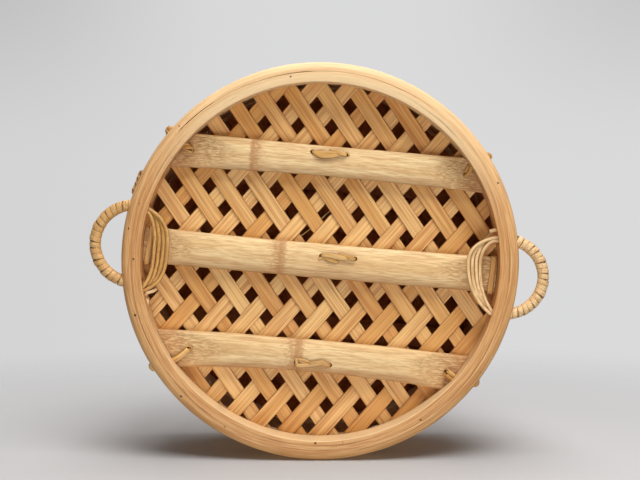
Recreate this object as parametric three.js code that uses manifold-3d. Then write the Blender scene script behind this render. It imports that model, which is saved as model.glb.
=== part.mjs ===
// A lidded bamboo steamer basket: bent hoops, a woven floor on three split-bamboo bars, cane
// handles and ties, and a domed lid that lifts off.
// Sizes are millimetres and degrees. +Z is up, the foot stands on z = 0, the axis of the basket
// is x = y = 0, and X runs along the crossbars and through both handles.
import * as THREE from "three";
import { mergeVertices } from "three/addons/utils/BufferGeometryUtils.js";
import Module from "manifold-3d";

const wasm = await Module();
wasm.setup();

// Fits
const seatGap = 0.3; // left between pieces that rest on or lie against each other
const lidPlay = 0.8; // radial room of the lid's flange inside the basket's wall

// Hoops of the basket
const rimDiameter = 303; // over the foot band
const basketHeight = 88; // foot to rim
const footBandThickness = 7.5;
const footBandHeight = 30;
const footBandRound = 3; // radius on the outer lower edge
const topBandThickness = 6;
const topBandHeight = 20;
const wallThickness = 3.6;
const liningThickness = 3.2;
const lidSeatDepth = 10; // how far the lining stops below the rim
const liningRound = 1.2; // chamfer on the inner lower edge of the foot ring
const footRingJointAngle = 74.4; // where the ends of the foot ring meet
const footRingJointWidth = 0.6;
const footRingJointSlant = 35; // the scarf's slant from upright
const bandChamfer = 1.2;

// Woven floor
const floorHeight = 26; // middle of the weave above the ground
const stripWidth = 11.8;
const stripThickness = 1.2;
const weaveClearance = 0.4; // air between two strips where they cross
const stripCount = 13; // in each direction
const firstSetAngle = 50.9; // direction of the first set, from X
const firstSetNearMargin = 4.9; // from the lining to the middle of the set's first strip
const firstSetFarMargin = 19.8;
const secondSetAngle = 126.8;
const secondSetNearMargin = 24.2;
const secondSetFarMargin = 7.3;
const twillFloat = 2; // strips passed over before going under

// Split-bamboo crossbars, round side down
const frontBarMargin = 59.6; // from the lining to the middle line of the bar
const backBarMargin = 62.7;
const frontBarWidth = 23.5; // at the middle of the bar
const middleBarWidth = 26;
const backBarWidth = 24.5;
const frontBarEndWidth = 26.5; // the split culm widens towards its ends
const middleBarEndWidth = 27.8;
const backBarEndWidth = 27.2;
const frontBarBow = 1; // how far towards +Y its ends lie from its middle
const middleBarBow = -1;
const backBarBow = 3.6;
const barDepth = 10.5; // round side to the edges that touch the floor
const culmRadius = 30; // outside of the bamboo that the bars are split from
const culmWall = 8;
const frontKnotX = -57.8; // the ring that marks a joint of the bamboo
const middleKnotX = -39.1;
const backKnotX = -15.8;
const knotWidth = 3.2;
const knotRise = 0.5;
const whittleDepth = 3; // shaved off the round side near each end
const whittleFlat = 18; // length of the flat at each end
const whittleSlope = 10; // length of the slope that leads to it

// Cane ties
const caneWidth = 2.6;
const caneThickness = 1.2;
const tieBulge = 6.2; // width of a bar tie at the middle of its visible run
const tieHoleRadius = 1.8;
const tieEdgeMargin = 5.5; // from a bar's edge to the middle of a tie hole
const tieCorner = 1; // chamfer of a tie's bends
const tieGapReach = 3.5; // how far off a floor gap's middle a tie can still pass through it
const frontTieAimX = 2.8; // the place on the bar that its tie comes nearest to
const frontTieAimSide = -5; // from the bar's middle line, towards +Y
const middleTieAimX = 15.3;
const middleTieAimSide = -0.8;
const backTieAimX = 1;
const backTieAimSide = 3.6;
const endTieInset = 7.5; // from a bar's end to its end tie's hole
const longEndTieInset = 17; // the same at the back left, where the tie reaches further
const knotHeadWidth = 5;
const knotHeadHeight = 3.6;
const knotHeadDepth = 1.6;
const frontLeftTieAngle = -144.5; // where each end tie passes the wall
const frontRightTieAngle = -37.5;
const backLeftTieAngle = 143.7;
const backRightTieAngle = 32.7;
const lashingWidth = 5;
const lashingThickness = 0.9;
const lashingInset = 5.5; // from the middle bar's end to the middle of its lashing
const stitchHeight = 14; // of the stitch through the foot band
const stitchStartAngle = -158;
const stitchEndAngle = -165;

// Cane ring handles
const strandDiameter = 2.4;
const strandSpacing = 2.9; // between strands in the bound half
const strandTurns = 4;
const fanSpacing = 3; // between strands in the open half
const wrapThickness = 0.7;
const wrapPitch = 4.1;
const wrapFill = 0.86; // share of the pitch that the wrapping strip covers
const handleHeight = 8; // of the ring's plane
const handleCentreInset = 9; // from the foot band's outside to the ring's centre
const handleOuterReach = 28; // centre of the ring to the middle of the bound half
const handleInnerReach = 26; // centre of the ring to the middle of the open half
const handleHalfSpan = 27.6; // half the distance between the two wall holes

// Lid
const lidWallHeight = 34;
const lidWallThickness = 3.6;
const lidFlangeThickness = 3.4;
const lidBandHeight = 16;
const lidBandThickness = 6;
const domeRingHeight = 11;
const domeRingThickness = 4;
const domeSkinThickness = 1.6;
const domeRise = 32;
const domeEdgeInset = 1.3; // from the dome ring to where the dome starts to rise
const battenWidth = 18;
const battenThickness = 4;
const battenMargin = 74; // from the lid's flange to the middle line of an outer batten
const lidHandleReach = 26; // height of the arch above the dome
const lidHandleHalfSpan = 24;
const lidHandleSlack = 4; // room between the handle's strands and the middle batten

// Facets
const ringSegments = 48;
const holeSegments = 10;
const strandSides = 5;
const strandSteps = 24; // in one turn of a handle
const wrapSteps = 8; // in one turn of the wrapping
const domeSteps = 5;
const battenSteps = 8;
const culmSegments = 4; // across half of a crossbar's round side
const culmStep = 38; // along a crossbar
const sharpestBend = 0.5; // cosine of half the sharpest turn that a cane strip keeps its thickness in

// Radii, from the outside in
const rimRadius = rimDiameter / 2;
const wallOuterRadius = rimRadius - footBandThickness - seatGap;
const wallInnerRadius = wallOuterRadius - wallThickness;
const liningOuterRadius = wallInnerRadius - seatGap;
const liningInnerRadius = liningOuterRadius - liningThickness;
const lidFlangeOuterRadius = wallInnerRadius - lidPlay;
const lidFlangeInnerRadius = lidFlangeOuterRadius - lidFlangeThickness;
const lidWallInnerRadius = lidFlangeOuterRadius + seatGap;
const lidWallOuterRadius = lidWallInnerRadius + lidWallThickness;
const lidBandInnerRadius = lidWallOuterRadius + seatGap;
const domeRingInnerRadius = lidFlangeOuterRadius - domeRingThickness;

const handleCentreRadius = rimRadius - handleCentreInset;

// Heights, from the ground up
const weaveRise = (stripThickness + weaveClearance) / 2; // of a strip's middle at a crossing
const weaveHalf = weaveRise + stripThickness / 2;
const barTop = floorHeight - weaveHalf - seatGap;
const barBottom = barTop - barDepth;
const liningBottom = floorHeight + weaveHalf + seatGap;
const liningTop = basketHeight - lidSeatDepth;
const lidBottom = basketHeight + seatGap;
const lidTop = lidBottom + lidWallHeight;
const domeRingBottom = lidTop - domeRingHeight;
const coverBrim = domeRingBottom - seatGap; // top of the cover's flat edge
const linerBrim = coverBrim - domeSkinThickness - seatGap; // top of the liner's flat edge
const flangeTop = linerBrim - domeSkinThickness - seatGap;

const bundleRadius = strandSpacing / Math.SQRT2 + strandDiameter / 2;

// How far the foot band's corners stand out past the middle of a facet.
const footBandSag = rimRadius - rimRadius * Math.cos(Math.PI / ringSegments);

// Materials
const finishes = {
  hoop: { color: 0xd9a767, roughness: 0.55 },
  strip: { color: 0xd6a36a, roughness: 0.6 },
  bar: { color: 0xdfc28e, roughness: 0.6 },
  cane: { color: 0xc99f56, roughness: 0.5 },
  wrap: { color: 0xdcb67d, roughness: 0.5 },
  dome: { color: 0xcd9d60, roughness: 0.65 },
};

const part = new THREE.Group();

// Adds one piece under its own name, with a material of its own.
function addPiece(name, geometry, finish, parent = part) {
  const material = new THREE.MeshStandardMaterial({
    ...finishes[finish],
    metalness: 0,
    flatShading: true,
  });
  const mesh = new THREE.Mesh(geometry, material);
  mesh.name = name;
  parent.add(mesh);
  return mesh;
}

const radians = THREE.MathUtils.degToRad;

const onCircle = (radius, angle, z) =>
  new THREE.Vector3(radius * Math.cos(angle), radius * Math.sin(angle), z);

// Distance from the axis to the middle of a facet of a hoop with this corner radius.
const facetRadius = (radius) => radius * Math.cos(Math.PI / ringSegments);

// Solids

// A closed geometry as a solid for cutting and joining.
function solidOf(geometry) {
  const bare = geometry.index ? geometry.toNonIndexed() : geometry.clone();
  bare.deleteAttribute("normal");
  bare.deleteAttribute("uv");
  const merged = mergeVertices(bare, 1e-4);
  return new wasm.Manifold(
    new wasm.Mesh({
      numProp: 3,
      vertProperties: merged.attributes.position.array,
      triVerts: new Uint32Array(merged.index.array),
    }),
  );
}

// A solid back as a geometry.
function geometryOf(solid) {
  const mesh = solid.getMesh();
  const geometry = new THREE.BufferGeometry();
  const positions = new Float32Array(mesh.vertProperties);
  geometry.setAttribute("position", new THREE.BufferAttribute(positions, 3));
  geometry.setIndex(new THREE.BufferAttribute(new Uint32Array(mesh.triVerts), 1));
  return geometry;
}

// One geometry less a list of others.
function cut(geometry, tools) {
  let solid = solidOf(geometry);
  for (const tool of tools) {
    solid = solid.subtract(solidOf(tool));
  }
  return geometryOf(solid);
}

// A hoop or shell turned about Z from a profile of [radius, height] pairs, counterclockwise.
// A profile that doesn't start on the axis is closed on itself.
function turned(profile, segments = ringSegments) {
  const points = profile.map(([radius, height]) => new THREE.Vector2(radius, height));
  if (profile[0][0] > 0) {
    points.push(points[0].clone());
  }
  return new THREE.LatheGeometry(points, segments).rotateX(Math.PI / 2);
}

// A straight round cutter between two points, whose flats lie at the given radius.
function drill(from, to, radius) {
  const along = to.clone().sub(from);
  const corner = radius / Math.cos(Math.PI / holeSegments);
  const cutter = new THREE.CylinderGeometry(corner, corner, along.length(), holeSegments);
  const up = new THREE.Vector3(0, 1, 0);
  cutter.applyQuaternion(new THREE.Quaternion().setFromUnitVectors(up, along.normalize()));
  const middle = from.clone().add(to).multiplyScalar(0.5);
  return cutter.translate(middle.x, middle.y, middle.z);
}

// A box given by its lowest and highest corners.
function block(low, high) {
  const size = high.map((value, axis) => value - low[axis]);
  const middle = high.map((value, axis) => (value + low[axis]) / 2);
  return new THREE.BoxGeometry(...size).translate(...middle);
}

// A flat outline in Y and Z, pushed along X from one value to another.
function pushedAlongX(shape, fromX, toX) {
  const options = { depth: toX - fromX, bevelEnabled: false };
  const geometry = new THREE.ExtrudeGeometry(shape, options);
  const x = new THREE.Vector3(1, 0, 0);
  const y = new THREE.Vector3(0, 1, 0);
  const z = new THREE.Vector3(0, 0, 1);
  geometry.applyMatrix4(new THREE.Matrix4().makeBasis(y, z, x));
  return geometry.translate(fromX, 0, 0);
}

// A flat outline in X and Z, pushed along Y.
function pushedAlongY(shape, fromY, toY) {
  const options = { depth: toY - fromY, bevelEnabled: false };
  return new THREE.ExtrudeGeometry(shape, options)
    .rotateX(Math.PI / 2)
    .translate(0, toY, 0);
}

// Six times the volume inside a list of triangles, negative where they face inwards.
function signedVolume(triangles) {
  return triangles.reduce((sum, [a, b, c]) => sum + a.dot(b.clone().cross(c)), 0);
}

// A skin over a row of outlines with equal point counts. Open rows get flat ends.
function loft(outlines, closed = false) {
  const triangles = [];
  const corners = outlines[0].length;
  const spans = closed ? outlines.length : outlines.length - 1;
  const addTriangle = (a, b, c) => {
    const collapsed = a.distanceTo(b) < 1e-4 || b.distanceTo(c) < 1e-4 || c.distanceTo(a) < 1e-4;
    if (!collapsed) {
      triangles.push([a, b, c]);
    }
  };
  for (let span = 0; span < spans; span += 1) {
    const here = outlines[span];
    const next = outlines[(span + 1) % outlines.length];
    for (let corner = 0; corner < corners; corner += 1) {
      const after = (corner + 1) % corners;
      addTriangle(here[corner], here[after], next[after]);
      addTriangle(here[corner], next[after], next[corner]);
    }
  }
  if (!closed) {
    const last = outlines.at(-1);
    for (let corner = 2; corner < corners; corner += 1) {
      addTriangle(outlines[0][0], outlines[0][corner], outlines[0][corner - 1]);
      addTriangle(last[0], last[corner - 1], last[corner]);
    }
  }
  if (signedVolume(triangles) < 0) {
    triangles.forEach((triangle) => triangle.reverse());
  }
  const geometry = new THREE.BufferGeometry().setFromPoints(triangles.flat());
  return mergeVertices(geometry, 1e-4);
}

// A flat strip of cane that follows points lying in one plane. The side vector is square to that
// plane; widths are measured along it and thicknesses across it, one for each point.
function caneStrip(points, widths, thicknesses, side, closed = false) {
  const count = points.length;
  const outlines = points.map((point, index) => {
    const before = closed ? points[(index + count - 1) % count] : points[Math.max(index - 1, 0)];
    const after = closed ? points[(index + 1) % count] : points[Math.min(index + 1, count - 1)];
    const arriving = point.clone().sub(before).normalize();
    const leaving = after.clone().sub(point).normalize();
    const tangent = arriving.clone().add(leaving).normalize();
    const runsOn = arriving.length() > 0 && leaving.length() > 0;
    const halfBend = runsOn ? Math.max(tangent.dot(leaving), sharpestBend) : 1;
    const halfWidth = side.clone().multiplyScalar(widths[index] / 2);
    const halfThickness = side
      .clone()
      .cross(tangent)
      .multiplyScalar(thicknesses[index] / 2 / halfBend);
    return [
      point.clone().sub(halfWidth).sub(halfThickness),
      point.clone().add(halfWidth).sub(halfThickness),
      point.clone().add(halfWidth).add(halfThickness),
      point.clone().sub(halfWidth).add(halfThickness),
    ];
  });
  return loft(outlines, closed);
}

// The height at a place in a list of [place, height] pairs, whose last slope runs on past its end.
function heightAt(stations, place) {
  const before = stations.findLastIndex(([station]) => station <= place);
  const index = THREE.MathUtils.clamp(before, 0, stations.length - 2);
  const [fromPlace, fromHeight] = stations[index];
  const [toPlace, toHeight] = stations[index + 1];
  return fromHeight + ((toHeight - fromHeight) * (place - fromPlace)) / (toPlace - fromPlace);
}

// Woven floor

const stripSets = [
  {
    name: "first",
    angle: radians(firstSetAngle),
    nearMargin: firstSetNearMargin,
    farMargin: firstSetFarMargin,
  },
  {
    name: "second",
    angle: radians(secondSetAngle),
    nearMargin: secondSetNearMargin,
    farMargin: secondSetFarMargin,
  },
].map((set) => ({
  ...set,
  along: new THREE.Vector2(Math.cos(set.angle), Math.sin(set.angle)),
  across: new THREE.Vector2(-Math.sin(set.angle), Math.cos(set.angle)),
}));

// Distance of a strip's middle line from the basket's axis, along its set's across direction.
function stripOffset(set, index) {
  const first = liningInnerRadius - set.nearMargin;
  const last = set.farMargin - liningInnerRadius;
  return first + ((last - first) * index) / (stripCount - 1);
}

// Where the middle lines of a first-set and a second-set strip cross.
function crossingPoint(firstIndex, secondIndex) {
  const [first, second] = stripSets;
  const alongSecond = stripOffset(first, firstIndex) / first.across.dot(second.along);
  const alongFirst = stripOffset(second, secondIndex) / second.across.dot(first.along);
  return second.along
    .clone()
    .multiplyScalar(alongSecond)
    .addScaledVector(first.along, alongFirst);
}

// 1 where the first-set strip passes over at a crossing, -1 where it passes under.
function firstSetLevel(firstIndex, secondIndex) {
  const repeat = 2 * twillFloat;
  const place = (((secondIndex - firstIndex) % repeat) + repeat) % repeat;
  return place >= twillFloat ? 1 : -1;
}

// Heights of a strip's middle along its length, as [place, height] pairs in order of place. It
// changes level in the open gap between two crossing strips.
function stripHeights(setIndex, index) {
  const set = stripSets[setIndex];
  const other = stripSets[1 - setIndex];
  const crossings = Array.from({ length: stripCount }, (_, otherIndex) => {
    const pair = setIndex === 0 ? [index, otherIndex] : [otherIndex, index];
    const side = setIndex === 0 ? 1 : -1;
    const height = floorHeight + side * firstSetLevel(...pair) * weaveRise;
    return { place: crossingPoint(...pair).dot(set.along), height };
  }).sort((a, b) => a.place - b.place);
  const halfCrossing = stripWidth / 2 / Math.abs(other.across.dot(set.along));
  const heights = [[-rimDiameter, crossings[0].height]];
  for (let i = 1; i < crossings.length; i += 1) {
    const left = crossings[i - 1];
    const right = crossings[i];
    if (left.height !== right.height) {
      heights.push([left.place + halfCrossing, left.height]);
      heights.push([right.place - halfCrossing, right.height]);
    }
  }
  heights.push([rimDiameter, crossings.at(-1).height]);
  return heights;
}

// The space inside the wall that the floor strips reach into.
const stripSpace = solidOf(
  turned([
    [0, 0],
    [wallInnerRadius - seatGap, 0],
    [wallInnerRadius - seatGap, basketHeight],
    [0, basketHeight],
  ]),
);

// One floor strip, trimmed to the slot in the wall. Its stations lie parallel to the strips that
// it crosses, so that each edge changes level inside the gaps.
function floorStrip(setIndex, index) {
  const set = stripSets[setIndex];
  const other = stripSets[1 - setIndex];
  const skew = set.along.dot(other.along) / set.across.dot(other.along);
  const corner = (place, height, offset) => {
    const flat = set.along
      .clone()
      .multiplyScalar(place + offset * skew)
      .addScaledVector(set.across, stripOffset(set, index) + offset);
    return new THREE.Vector3(flat.x, flat.y, height);
  };
  const outlines = stripHeights(setIndex, index).map(([place, middle]) => {
    const low = middle - stripThickness / 2;
    const high = middle + stripThickness / 2;
    return [
      corner(place, low, -stripWidth / 2),
      corner(place, low, stripWidth / 2),
      corner(place, high, stripWidth / 2),
      corner(place, high, -stripWidth / 2),
    ];
  });
  return geometryOf(solidOf(loft(outlines)).intersect(stripSpace));
}

stripSets.forEach((set, setIndex) => {
  for (let index = 0; index < stripCount; index += 1) {
    const number = String(index + 1).padStart(2, "0");
    addPiece(`floor_strip_${set.name}_${number}`, floorStrip(setIndex, index), "strip");
  }
});

// Crossbars

const bars = [
  {
    name: "front",
    y: frontBarMargin - liningInnerRadius,
    width: frontBarWidth,
    endWidth: frontBarEndWidth,
    bow: frontBarBow,
    knotX: frontKnotX,
    tieAimX: frontTieAimX,
    tieAimSide: frontTieAimSide,
    lashed: false,
  },
  {
    name: "middle",
    y: 0,
    width: middleBarWidth,
    endWidth: middleBarEndWidth,
    bow: middleBarBow,
    knotX: middleKnotX,
    tieAimX: middleTieAimX,
    tieAimSide: middleTieAimSide,
    lashed: true,
  },
  {
    name: "back",
    y: liningInnerRadius - backBarMargin,
    width: backBarWidth,
    endWidth: backBarEndWidth,
    bow: backBarBow,
    knotX: backKnotX,
    tieAimX: backTieAimX,
    tieAimSide: backTieAimSide,
    lashed: false,
  },
];

const barReach = liningInnerRadius - seatGap;

// Half the length of a bar at its middle line.
const barHalfLength = (bar) => Math.sqrt(barReach ** 2 - (bar.y + bar.bow) ** 2);

// How far a bar has bowed and widened at a distance along X: 0 at its middle, 1 at its ends.
const barBend = (bar, x) => (x / barHalfLength(bar)) ** 2;
const barLine = (bar, x) => bar.y + bar.bow * barBend(bar, x);
const barWidthAt = (bar, x) => bar.width + (bar.endWidth - bar.width) * barBend(bar, x);

// Height of a bar's round side at a distance from its middle line.
const barSkin = (fromMiddle) =>
  barBottom + culmRadius - Math.sqrt(culmRadius ** 2 - fromMiddle ** 2);

// The split culm's section at a place along X, starting at the middle of its round side: round
// below, hollow above, with two flat edges under the floor.
function culmSection(bar, x, proud) {
  const half = barWidthAt(bar, x) / 2;
  const centreHeight = barBottom + culmRadius;
  const hollowRadius = culmRadius - culmWall;
  const skinTurn = Math.asin(half / (culmRadius + proud));
  const hollowTurn = Math.acos((centreHeight - barTop) / hollowRadius);
  const at = (radius, turn) =>
    new THREE.Vector3(
      x,
      barLine(bar, x) + radius * Math.sin(turn),
      centreHeight - radius * Math.cos(turn),
    );
  const edge = (side) => new THREE.Vector3(x, barLine(bar, x) + side * half, barTop);
  const skin = (share) => at(culmRadius + proud, skinTurn * share);
  const hollow = (share) => at(hollowRadius, hollowTurn * share);
  const shares = Array.from({ length: culmSegments }, (_, step) => step / culmSegments);
  return [
    ...shares.map(skin),
    skin(1),
    edge(1),
    hollow(1),
    hollow(0.5),
    hollow(0),
    hollow(-0.5),
    hollow(-1),
    edge(-1),
    skin(-1),
    ...shares.slice(1).reverse().map((share) => skin(-share)),
  ];
}

// The whole split culm, bowed and widened towards its ends, with its knot standing proud.
function culm(bar) {
  const places = [
    [bar.knotX - knotWidth / 2, 0],
    [bar.knotX - knotWidth / 2 + knotRise, knotRise],
    [bar.knotX + knotWidth / 2 - knotRise, knotRise],
    [bar.knotX + knotWidth / 2, 0],
  ];
  const steps = Math.round((2 * rimRadius) / culmStep);
  for (let step = 0; step <= steps; step += 1) {
    const x = ((2 * step) / steps - 1) * rimRadius;
    if (Math.abs(x - bar.knotX) > knotWidth) {
      places.push([x, 0]);
    }
  }
  places.sort((a, b) => a[0] - b[0]);
  return loft(places.map(([x, proud]) => culmSection(bar, x, proud)));
}

// What is shaved off the round side at the bar's end towards +X.
function whittling(bar) {
  const end = rimRadius;
  const flatStart = barHalfLength(bar) - whittleFlat;
  const shape = new THREE.Shape([
    new THREE.Vector2(flatStart - whittleSlope, barBottom),
    new THREE.Vector2(flatStart, barBottom + whittleDepth),
    new THREE.Vector2(end, barBottom + whittleDepth),
    new THREE.Vector2(end, barBottom - whittleDepth),
    new THREE.Vector2(flatStart - whittleSlope, barBottom - whittleDepth),
  ]);
  return pushedAlongY(shape, bar.y - bar.width, bar.y + bar.width);
}

// The crossing that a bar's tie goes over: the one nearest its aim that the bar's holes can reach.
function tiedCrossing(bar) {
  const reach = bar.width / 2 - tieEdgeMargin + tieGapReach;
  const crossings = [];
  for (let first = 0; first < stripCount; first += 1) {
    for (let second = 0; second < stripCount; second += 1) {
      crossings.push(crossingPoint(first, second));
    }
  }
  const aim = new THREE.Vector2(bar.tieAimX, bar.y + bar.tieAimSide);
  const distance = (point) => point.distanceTo(aim);
  return crossings
    .filter((point) => Math.abs(point.y - bar.y) <= reach)
    .reduce((best, point) => (distance(point) < distance(best) ? point : best));
}

// The two holes of a bar's tie, in line with the floor's open gaps on both sides of a crossing.
function tieHoles(bar) {
  const crossing = tiedCrossing(bar);
  const halfStep = (crossingPoint(1, 0).x - crossingPoint(0, 0).x) / 2;
  const otherHalfStep = (crossingPoint(0, 1).x - crossingPoint(0, 0).x) / 2;
  const halfSpan = Math.abs(halfStep) + Math.abs(otherHalfStep);
  const room = bar.width / 2 - tieEdgeMargin;
  const y = THREE.MathUtils.clamp(crossing.y, bar.y - room, bar.y + room);
  return [-halfSpan, halfSpan].map((offset) => new THREE.Vector2(crossing.x + offset, y));
}

// Places of the ties at a bar's ends: the hole in the bar, and the angle at which it passes the wall.
const endTies = [
  { name: "front_left", bar: bars[0], side: -1, inset: endTieInset, angle: frontLeftTieAngle },
  { name: "front_right", bar: bars[0], side: 1, inset: endTieInset, angle: frontRightTieAngle },
  { name: "back_left", bar: bars[2], side: -1, inset: longEndTieInset, angle: backLeftTieAngle },
  { name: "back_right", bar: bars[2], side: 1, inset: endTieInset, angle: backRightTieAngle },
];

const endTieHeight = barBottom + whittleDepth - seatGap - caneThickness / 2;

function endTieHole(tie) {
  const x = tie.side * (barHalfLength(tie.bar) - tie.inset);
  return new THREE.Vector3(x, barLine(tie.bar, x), endTieHeight);
}

const endTieOutside = (tie) => onCircle(facetRadius(rimRadius), radians(tie.angle), endTieHeight);

// A cutter for an upright tie hole through a bar.
function uprightHole(x, y) {
  const low = new THREE.Vector3(x, y, 0);
  const high = new THREE.Vector3(x, y, basketHeight);
  return drill(low, high, tieHoleRadius);
}

// The notch across the top of a lashed bar in which its lashing lies.
function lashingNotch(bar, side) {
  const middle = side * (barHalfLength(bar) - lashingInset);
  const half = lashingWidth / 2 + seatGap;
  const bottom = barTop - lashingThickness - seatGap;
  const low = [middle - half, bar.y - bar.width, bottom];
  const high = [middle + half, bar.y + bar.width, basketHeight];
  return block(low, high);
}

// One crossbar: the split culm with its knot, rounded to the wall, whittled and drilled.
function crossbar(bar) {
  const inside = turned([
    [0, 0],
    [barReach, 0],
    [barReach, basketHeight],
    [0, basketHeight],
  ]);
  const fitted = geometryOf(solidOf(culm(bar)).intersect(solidOf(inside)));
  const whittle = whittling(bar);
  const holes = tieHoles(bar).map(({ x, y }) => uprightHole(x, y));
  endTies
    .filter((tie) => tie.bar === bar)
    .forEach((tie) => holes.push(uprightHole(endTieHole(tie).x, endTieHole(tie).y)));
  const notches = bar.lashed ? [-1, 1].map((side) => lashingNotch(bar, side)) : [];
  const otherWhittle = whittle.clone().rotateZ(Math.PI).translate(0, 2 * bar.y, 0);
  return cut(fitted, [whittle, otherWhittle, ...holes, ...notches]);
}

bars.forEach((bar) => addPiece(`crossbar_${bar.name}`, crossbar(bar), "bar"));

// Ties

const tieRun = [0.2, 0.5, 0.8]; // places along a bar tie's visible run where its width is set

// A closed loop of cane under a bar, up through its two holes and over the floor's crossing.
function barTie(bar) {
  const [left, right] = tieHoles(bar);
  const y = left.y;
  const nearest = Math.max(Math.abs(y - bar.y) - tieBulge / 2, 0);
  const low = barSkin(nearest) - seatGap - caneThickness / 2;
  const high = floorHeight + weaveHalf + seatGap + caneThickness / 2;
  const span = right.x - left.x;
  const at = (x, z) => new THREE.Vector3(x, y, z);
  const run = tieRun.map((share) => at(left.x + span * share, low));
  const points = [
    at(left.x, low + tieCorner),
    at(left.x + tieCorner, low),
    ...run,
    at(right.x - tieCorner, low),
    at(right.x, low + tieCorner),
    at(right.x, high - tieCorner),
    at(right.x - tieCorner, high),
    at(left.x + tieCorner, high),
    at(left.x, high - tieCorner),
  ];
  const shoulder = (caneWidth + tieBulge) / 2;
  const runWidths = [shoulder, tieBulge, shoulder];
  const ends = (count) => Array(count).fill(caneWidth);
  const widths = [...ends(2), ...runWidths, ...ends(6)];
  const thicknesses = Array(points.length).fill(caneThickness);
  return caneStrip(points, widths, thicknesses, new THREE.Vector3(0, 1, 0), true);
}

bars.forEach((bar) => addPiece(`crossbar_tie_${bar.name}`, barTie(bar), "cane"));

// A strip from inside a bar's hollow, down its hole and out through the wall to a flat knot.
function endTie(tie) {
  const hole = endTieHole(tie);
  const outside = endTieOutside(tie);
  const direction = outside.clone().sub(hole).normalize();
  const side = direction.clone().cross(new THREE.Vector3(0, 0, 1));
  const above = hole.clone().setZ(barTop - caneThickness);
  const bend = hole.clone().addScaledVector(direction, tieCorner);
  const bendTop = hole.clone().setZ(endTieHeight + tieCorner);
  const out = (distance) => outside.clone().addScaledVector(direction, distance);
  const headStart = footBandSag + seatGap;
  const points = [
    above,
    bendTop,
    bend,
    out(headStart),
    out(headStart + caneThickness / 2),
    out(headStart + knotHeadDepth),
  ];
  const widths = [caneWidth, caneWidth, caneWidth, caneWidth, knotHeadWidth, knotHeadWidth];
  const slim = caneThickness;
  const thicknesses = [slim, slim, slim, slim, knotHeadHeight, knotHeadHeight];
  return caneStrip(points, widths, thicknesses, side);
}

endTies.forEach((tie) => addPiece(`crossbar_end_tie_${tie.name}`, endTie(tie), "cane"));

// A flat band round a lashed bar's end, which lies in the notch on top.
function lashing(bar, side) {
  const middle = side * (barHalfLength(bar) - lashingInset);
  const y = barLine(bar, middle);
  const innerHalf = barWidthAt(bar, middle) / 2 + seatGap;
  const outerHalf = innerHalf + lashingThickness;
  const innerLow = barBottom + whittleDepth - seatGap;
  const innerHigh = barTop - lashingThickness;
  const rectangle = (half, low, high) => [
    new THREE.Vector2(y - half, low),
    new THREE.Vector2(y + half, low),
    new THREE.Vector2(y + half, high),
    new THREE.Vector2(y - half, high),
  ];
  const shape = new THREE.Shape(rectangle(outerHalf, innerLow - lashingThickness, barTop));
  shape.holes.push(new THREE.Path(rectangle(innerHalf, innerLow, innerHigh)));
  return pushedAlongX(shape, middle - lashingWidth / 2, middle + lashingWidth / 2);
}

addPiece("bar_lashing_left", lashing(bars[1], -1), "wrap");
addPiece("bar_lashing_right", lashing(bars[1], 1), "wrap");

const stitchAngles = [radians(stitchStartAngle), radians(stitchEndAngle)];

// The stitch on the outside of the foot band, with both ends turned in through it.
function footBandStitch() {
  const outer = rimRadius + seatGap + caneThickness / 2;
  const inner = wallOuterRadius + seatGap + caneThickness / 2;
  const [start, end] = stitchAngles;
  const at = (radius, angle) => onCircle(radius, angle, stitchHeight);
  const points = [at(inner, start), at(outer, start), at(outer, end), at(inner, end)];
  const widths = Array(points.length).fill(caneWidth);
  const thicknesses = Array(points.length).fill(caneThickness);
  return caneStrip(points, widths, thicknesses, new THREE.Vector3(0, 0, 1));
}

addPiece("foot_band_stitch", footBandStitch(), "cane");

// Handles

// A ring handle in its own frame: +X outwards through the bound half, Y along the chord between its
// two holes, Z along its axis. Its outline is two half ellipses that meet at the holes.
const sideHandle = {
  outerReach: handleOuterReach,
  innerReach: handleInnerReach,
  halfSpan: handleHalfSpan,
  fansAcross: false,
};

const smooth = THREE.MathUtils.smoothstep;

// Where on its way from the bound half to the middle of the open half the bundle first spreads
// and then flattens, as shares of the open half's turning.
const fanSpread = [0.1, 0.3];
const fanFlatten = [0.25, 0.45];

// The ring's middle line at an angle from +X, with the direction that points out of the ring.
function ringLine(handle, angle) {
  const reach = Math.cos(angle) >= 0 ? handle.outerReach : handle.innerReach;
  const x = Math.cos(angle);
  const y = Math.sin(angle);
  return {
    centre: new THREE.Vector3(reach * x, handle.halfSpan * y, 0),
    outward: new THREE.Vector3(x / reach, y / handle.halfSpan, 0).normalize(),
  };
}

// The middle of the strand after this much turning. The strands lie in a square bundle in the bound
// half, where each moves on by one place a turn, and spread into a flat fan in the open half.
function strandPoint(handle, turning) {
  const turn = Math.round(turning / (2 * Math.PI));
  const inTurn = turning - 2 * Math.PI * turn;
  const bound = Math.abs(inTurn) < Math.PI / 2;
  const place = bound
    ? turn - 1 + smooth(inTurn, -Math.PI / 2, Math.PI / 2)
    : turn - (inTurn < 0 ? 1 : 0);
  const slotTurn = (-3 * Math.PI) / 4 - (place * Math.PI) / 2;
  const slotRadius = strandSpacing / Math.SQRT2;
  const intoFan = (Math.abs(inTurn) - Math.PI / 2) / Math.PI;
  const spread = smooth(intoFan, ...fanSpread);
  const flatten = smooth(intoFan, ...fanFlatten);
  const fanPlace = (place - (strandTurns - 1) / 2) * fanSpacing;
  const sideways = THREE.MathUtils.lerp(slotRadius * Math.cos(slotTurn), fanPlace, spread);
  const standing = slotRadius * Math.sin(slotTurn) * (1 - flatten);
  const { centre, outward } = ringLine(handle, inTurn);
  const axis = new THREE.Vector3(0, 0, 1);
  const [fanAxis, otherAxis] = handle.fansAcross ? [axis, outward] : [outward, axis];
  const point = centre
    .clone()
    .addScaledVector(fanAxis, sideways)
    .addScaledVector(otherAxis, standing);
  return { point, outward };
}

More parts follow.
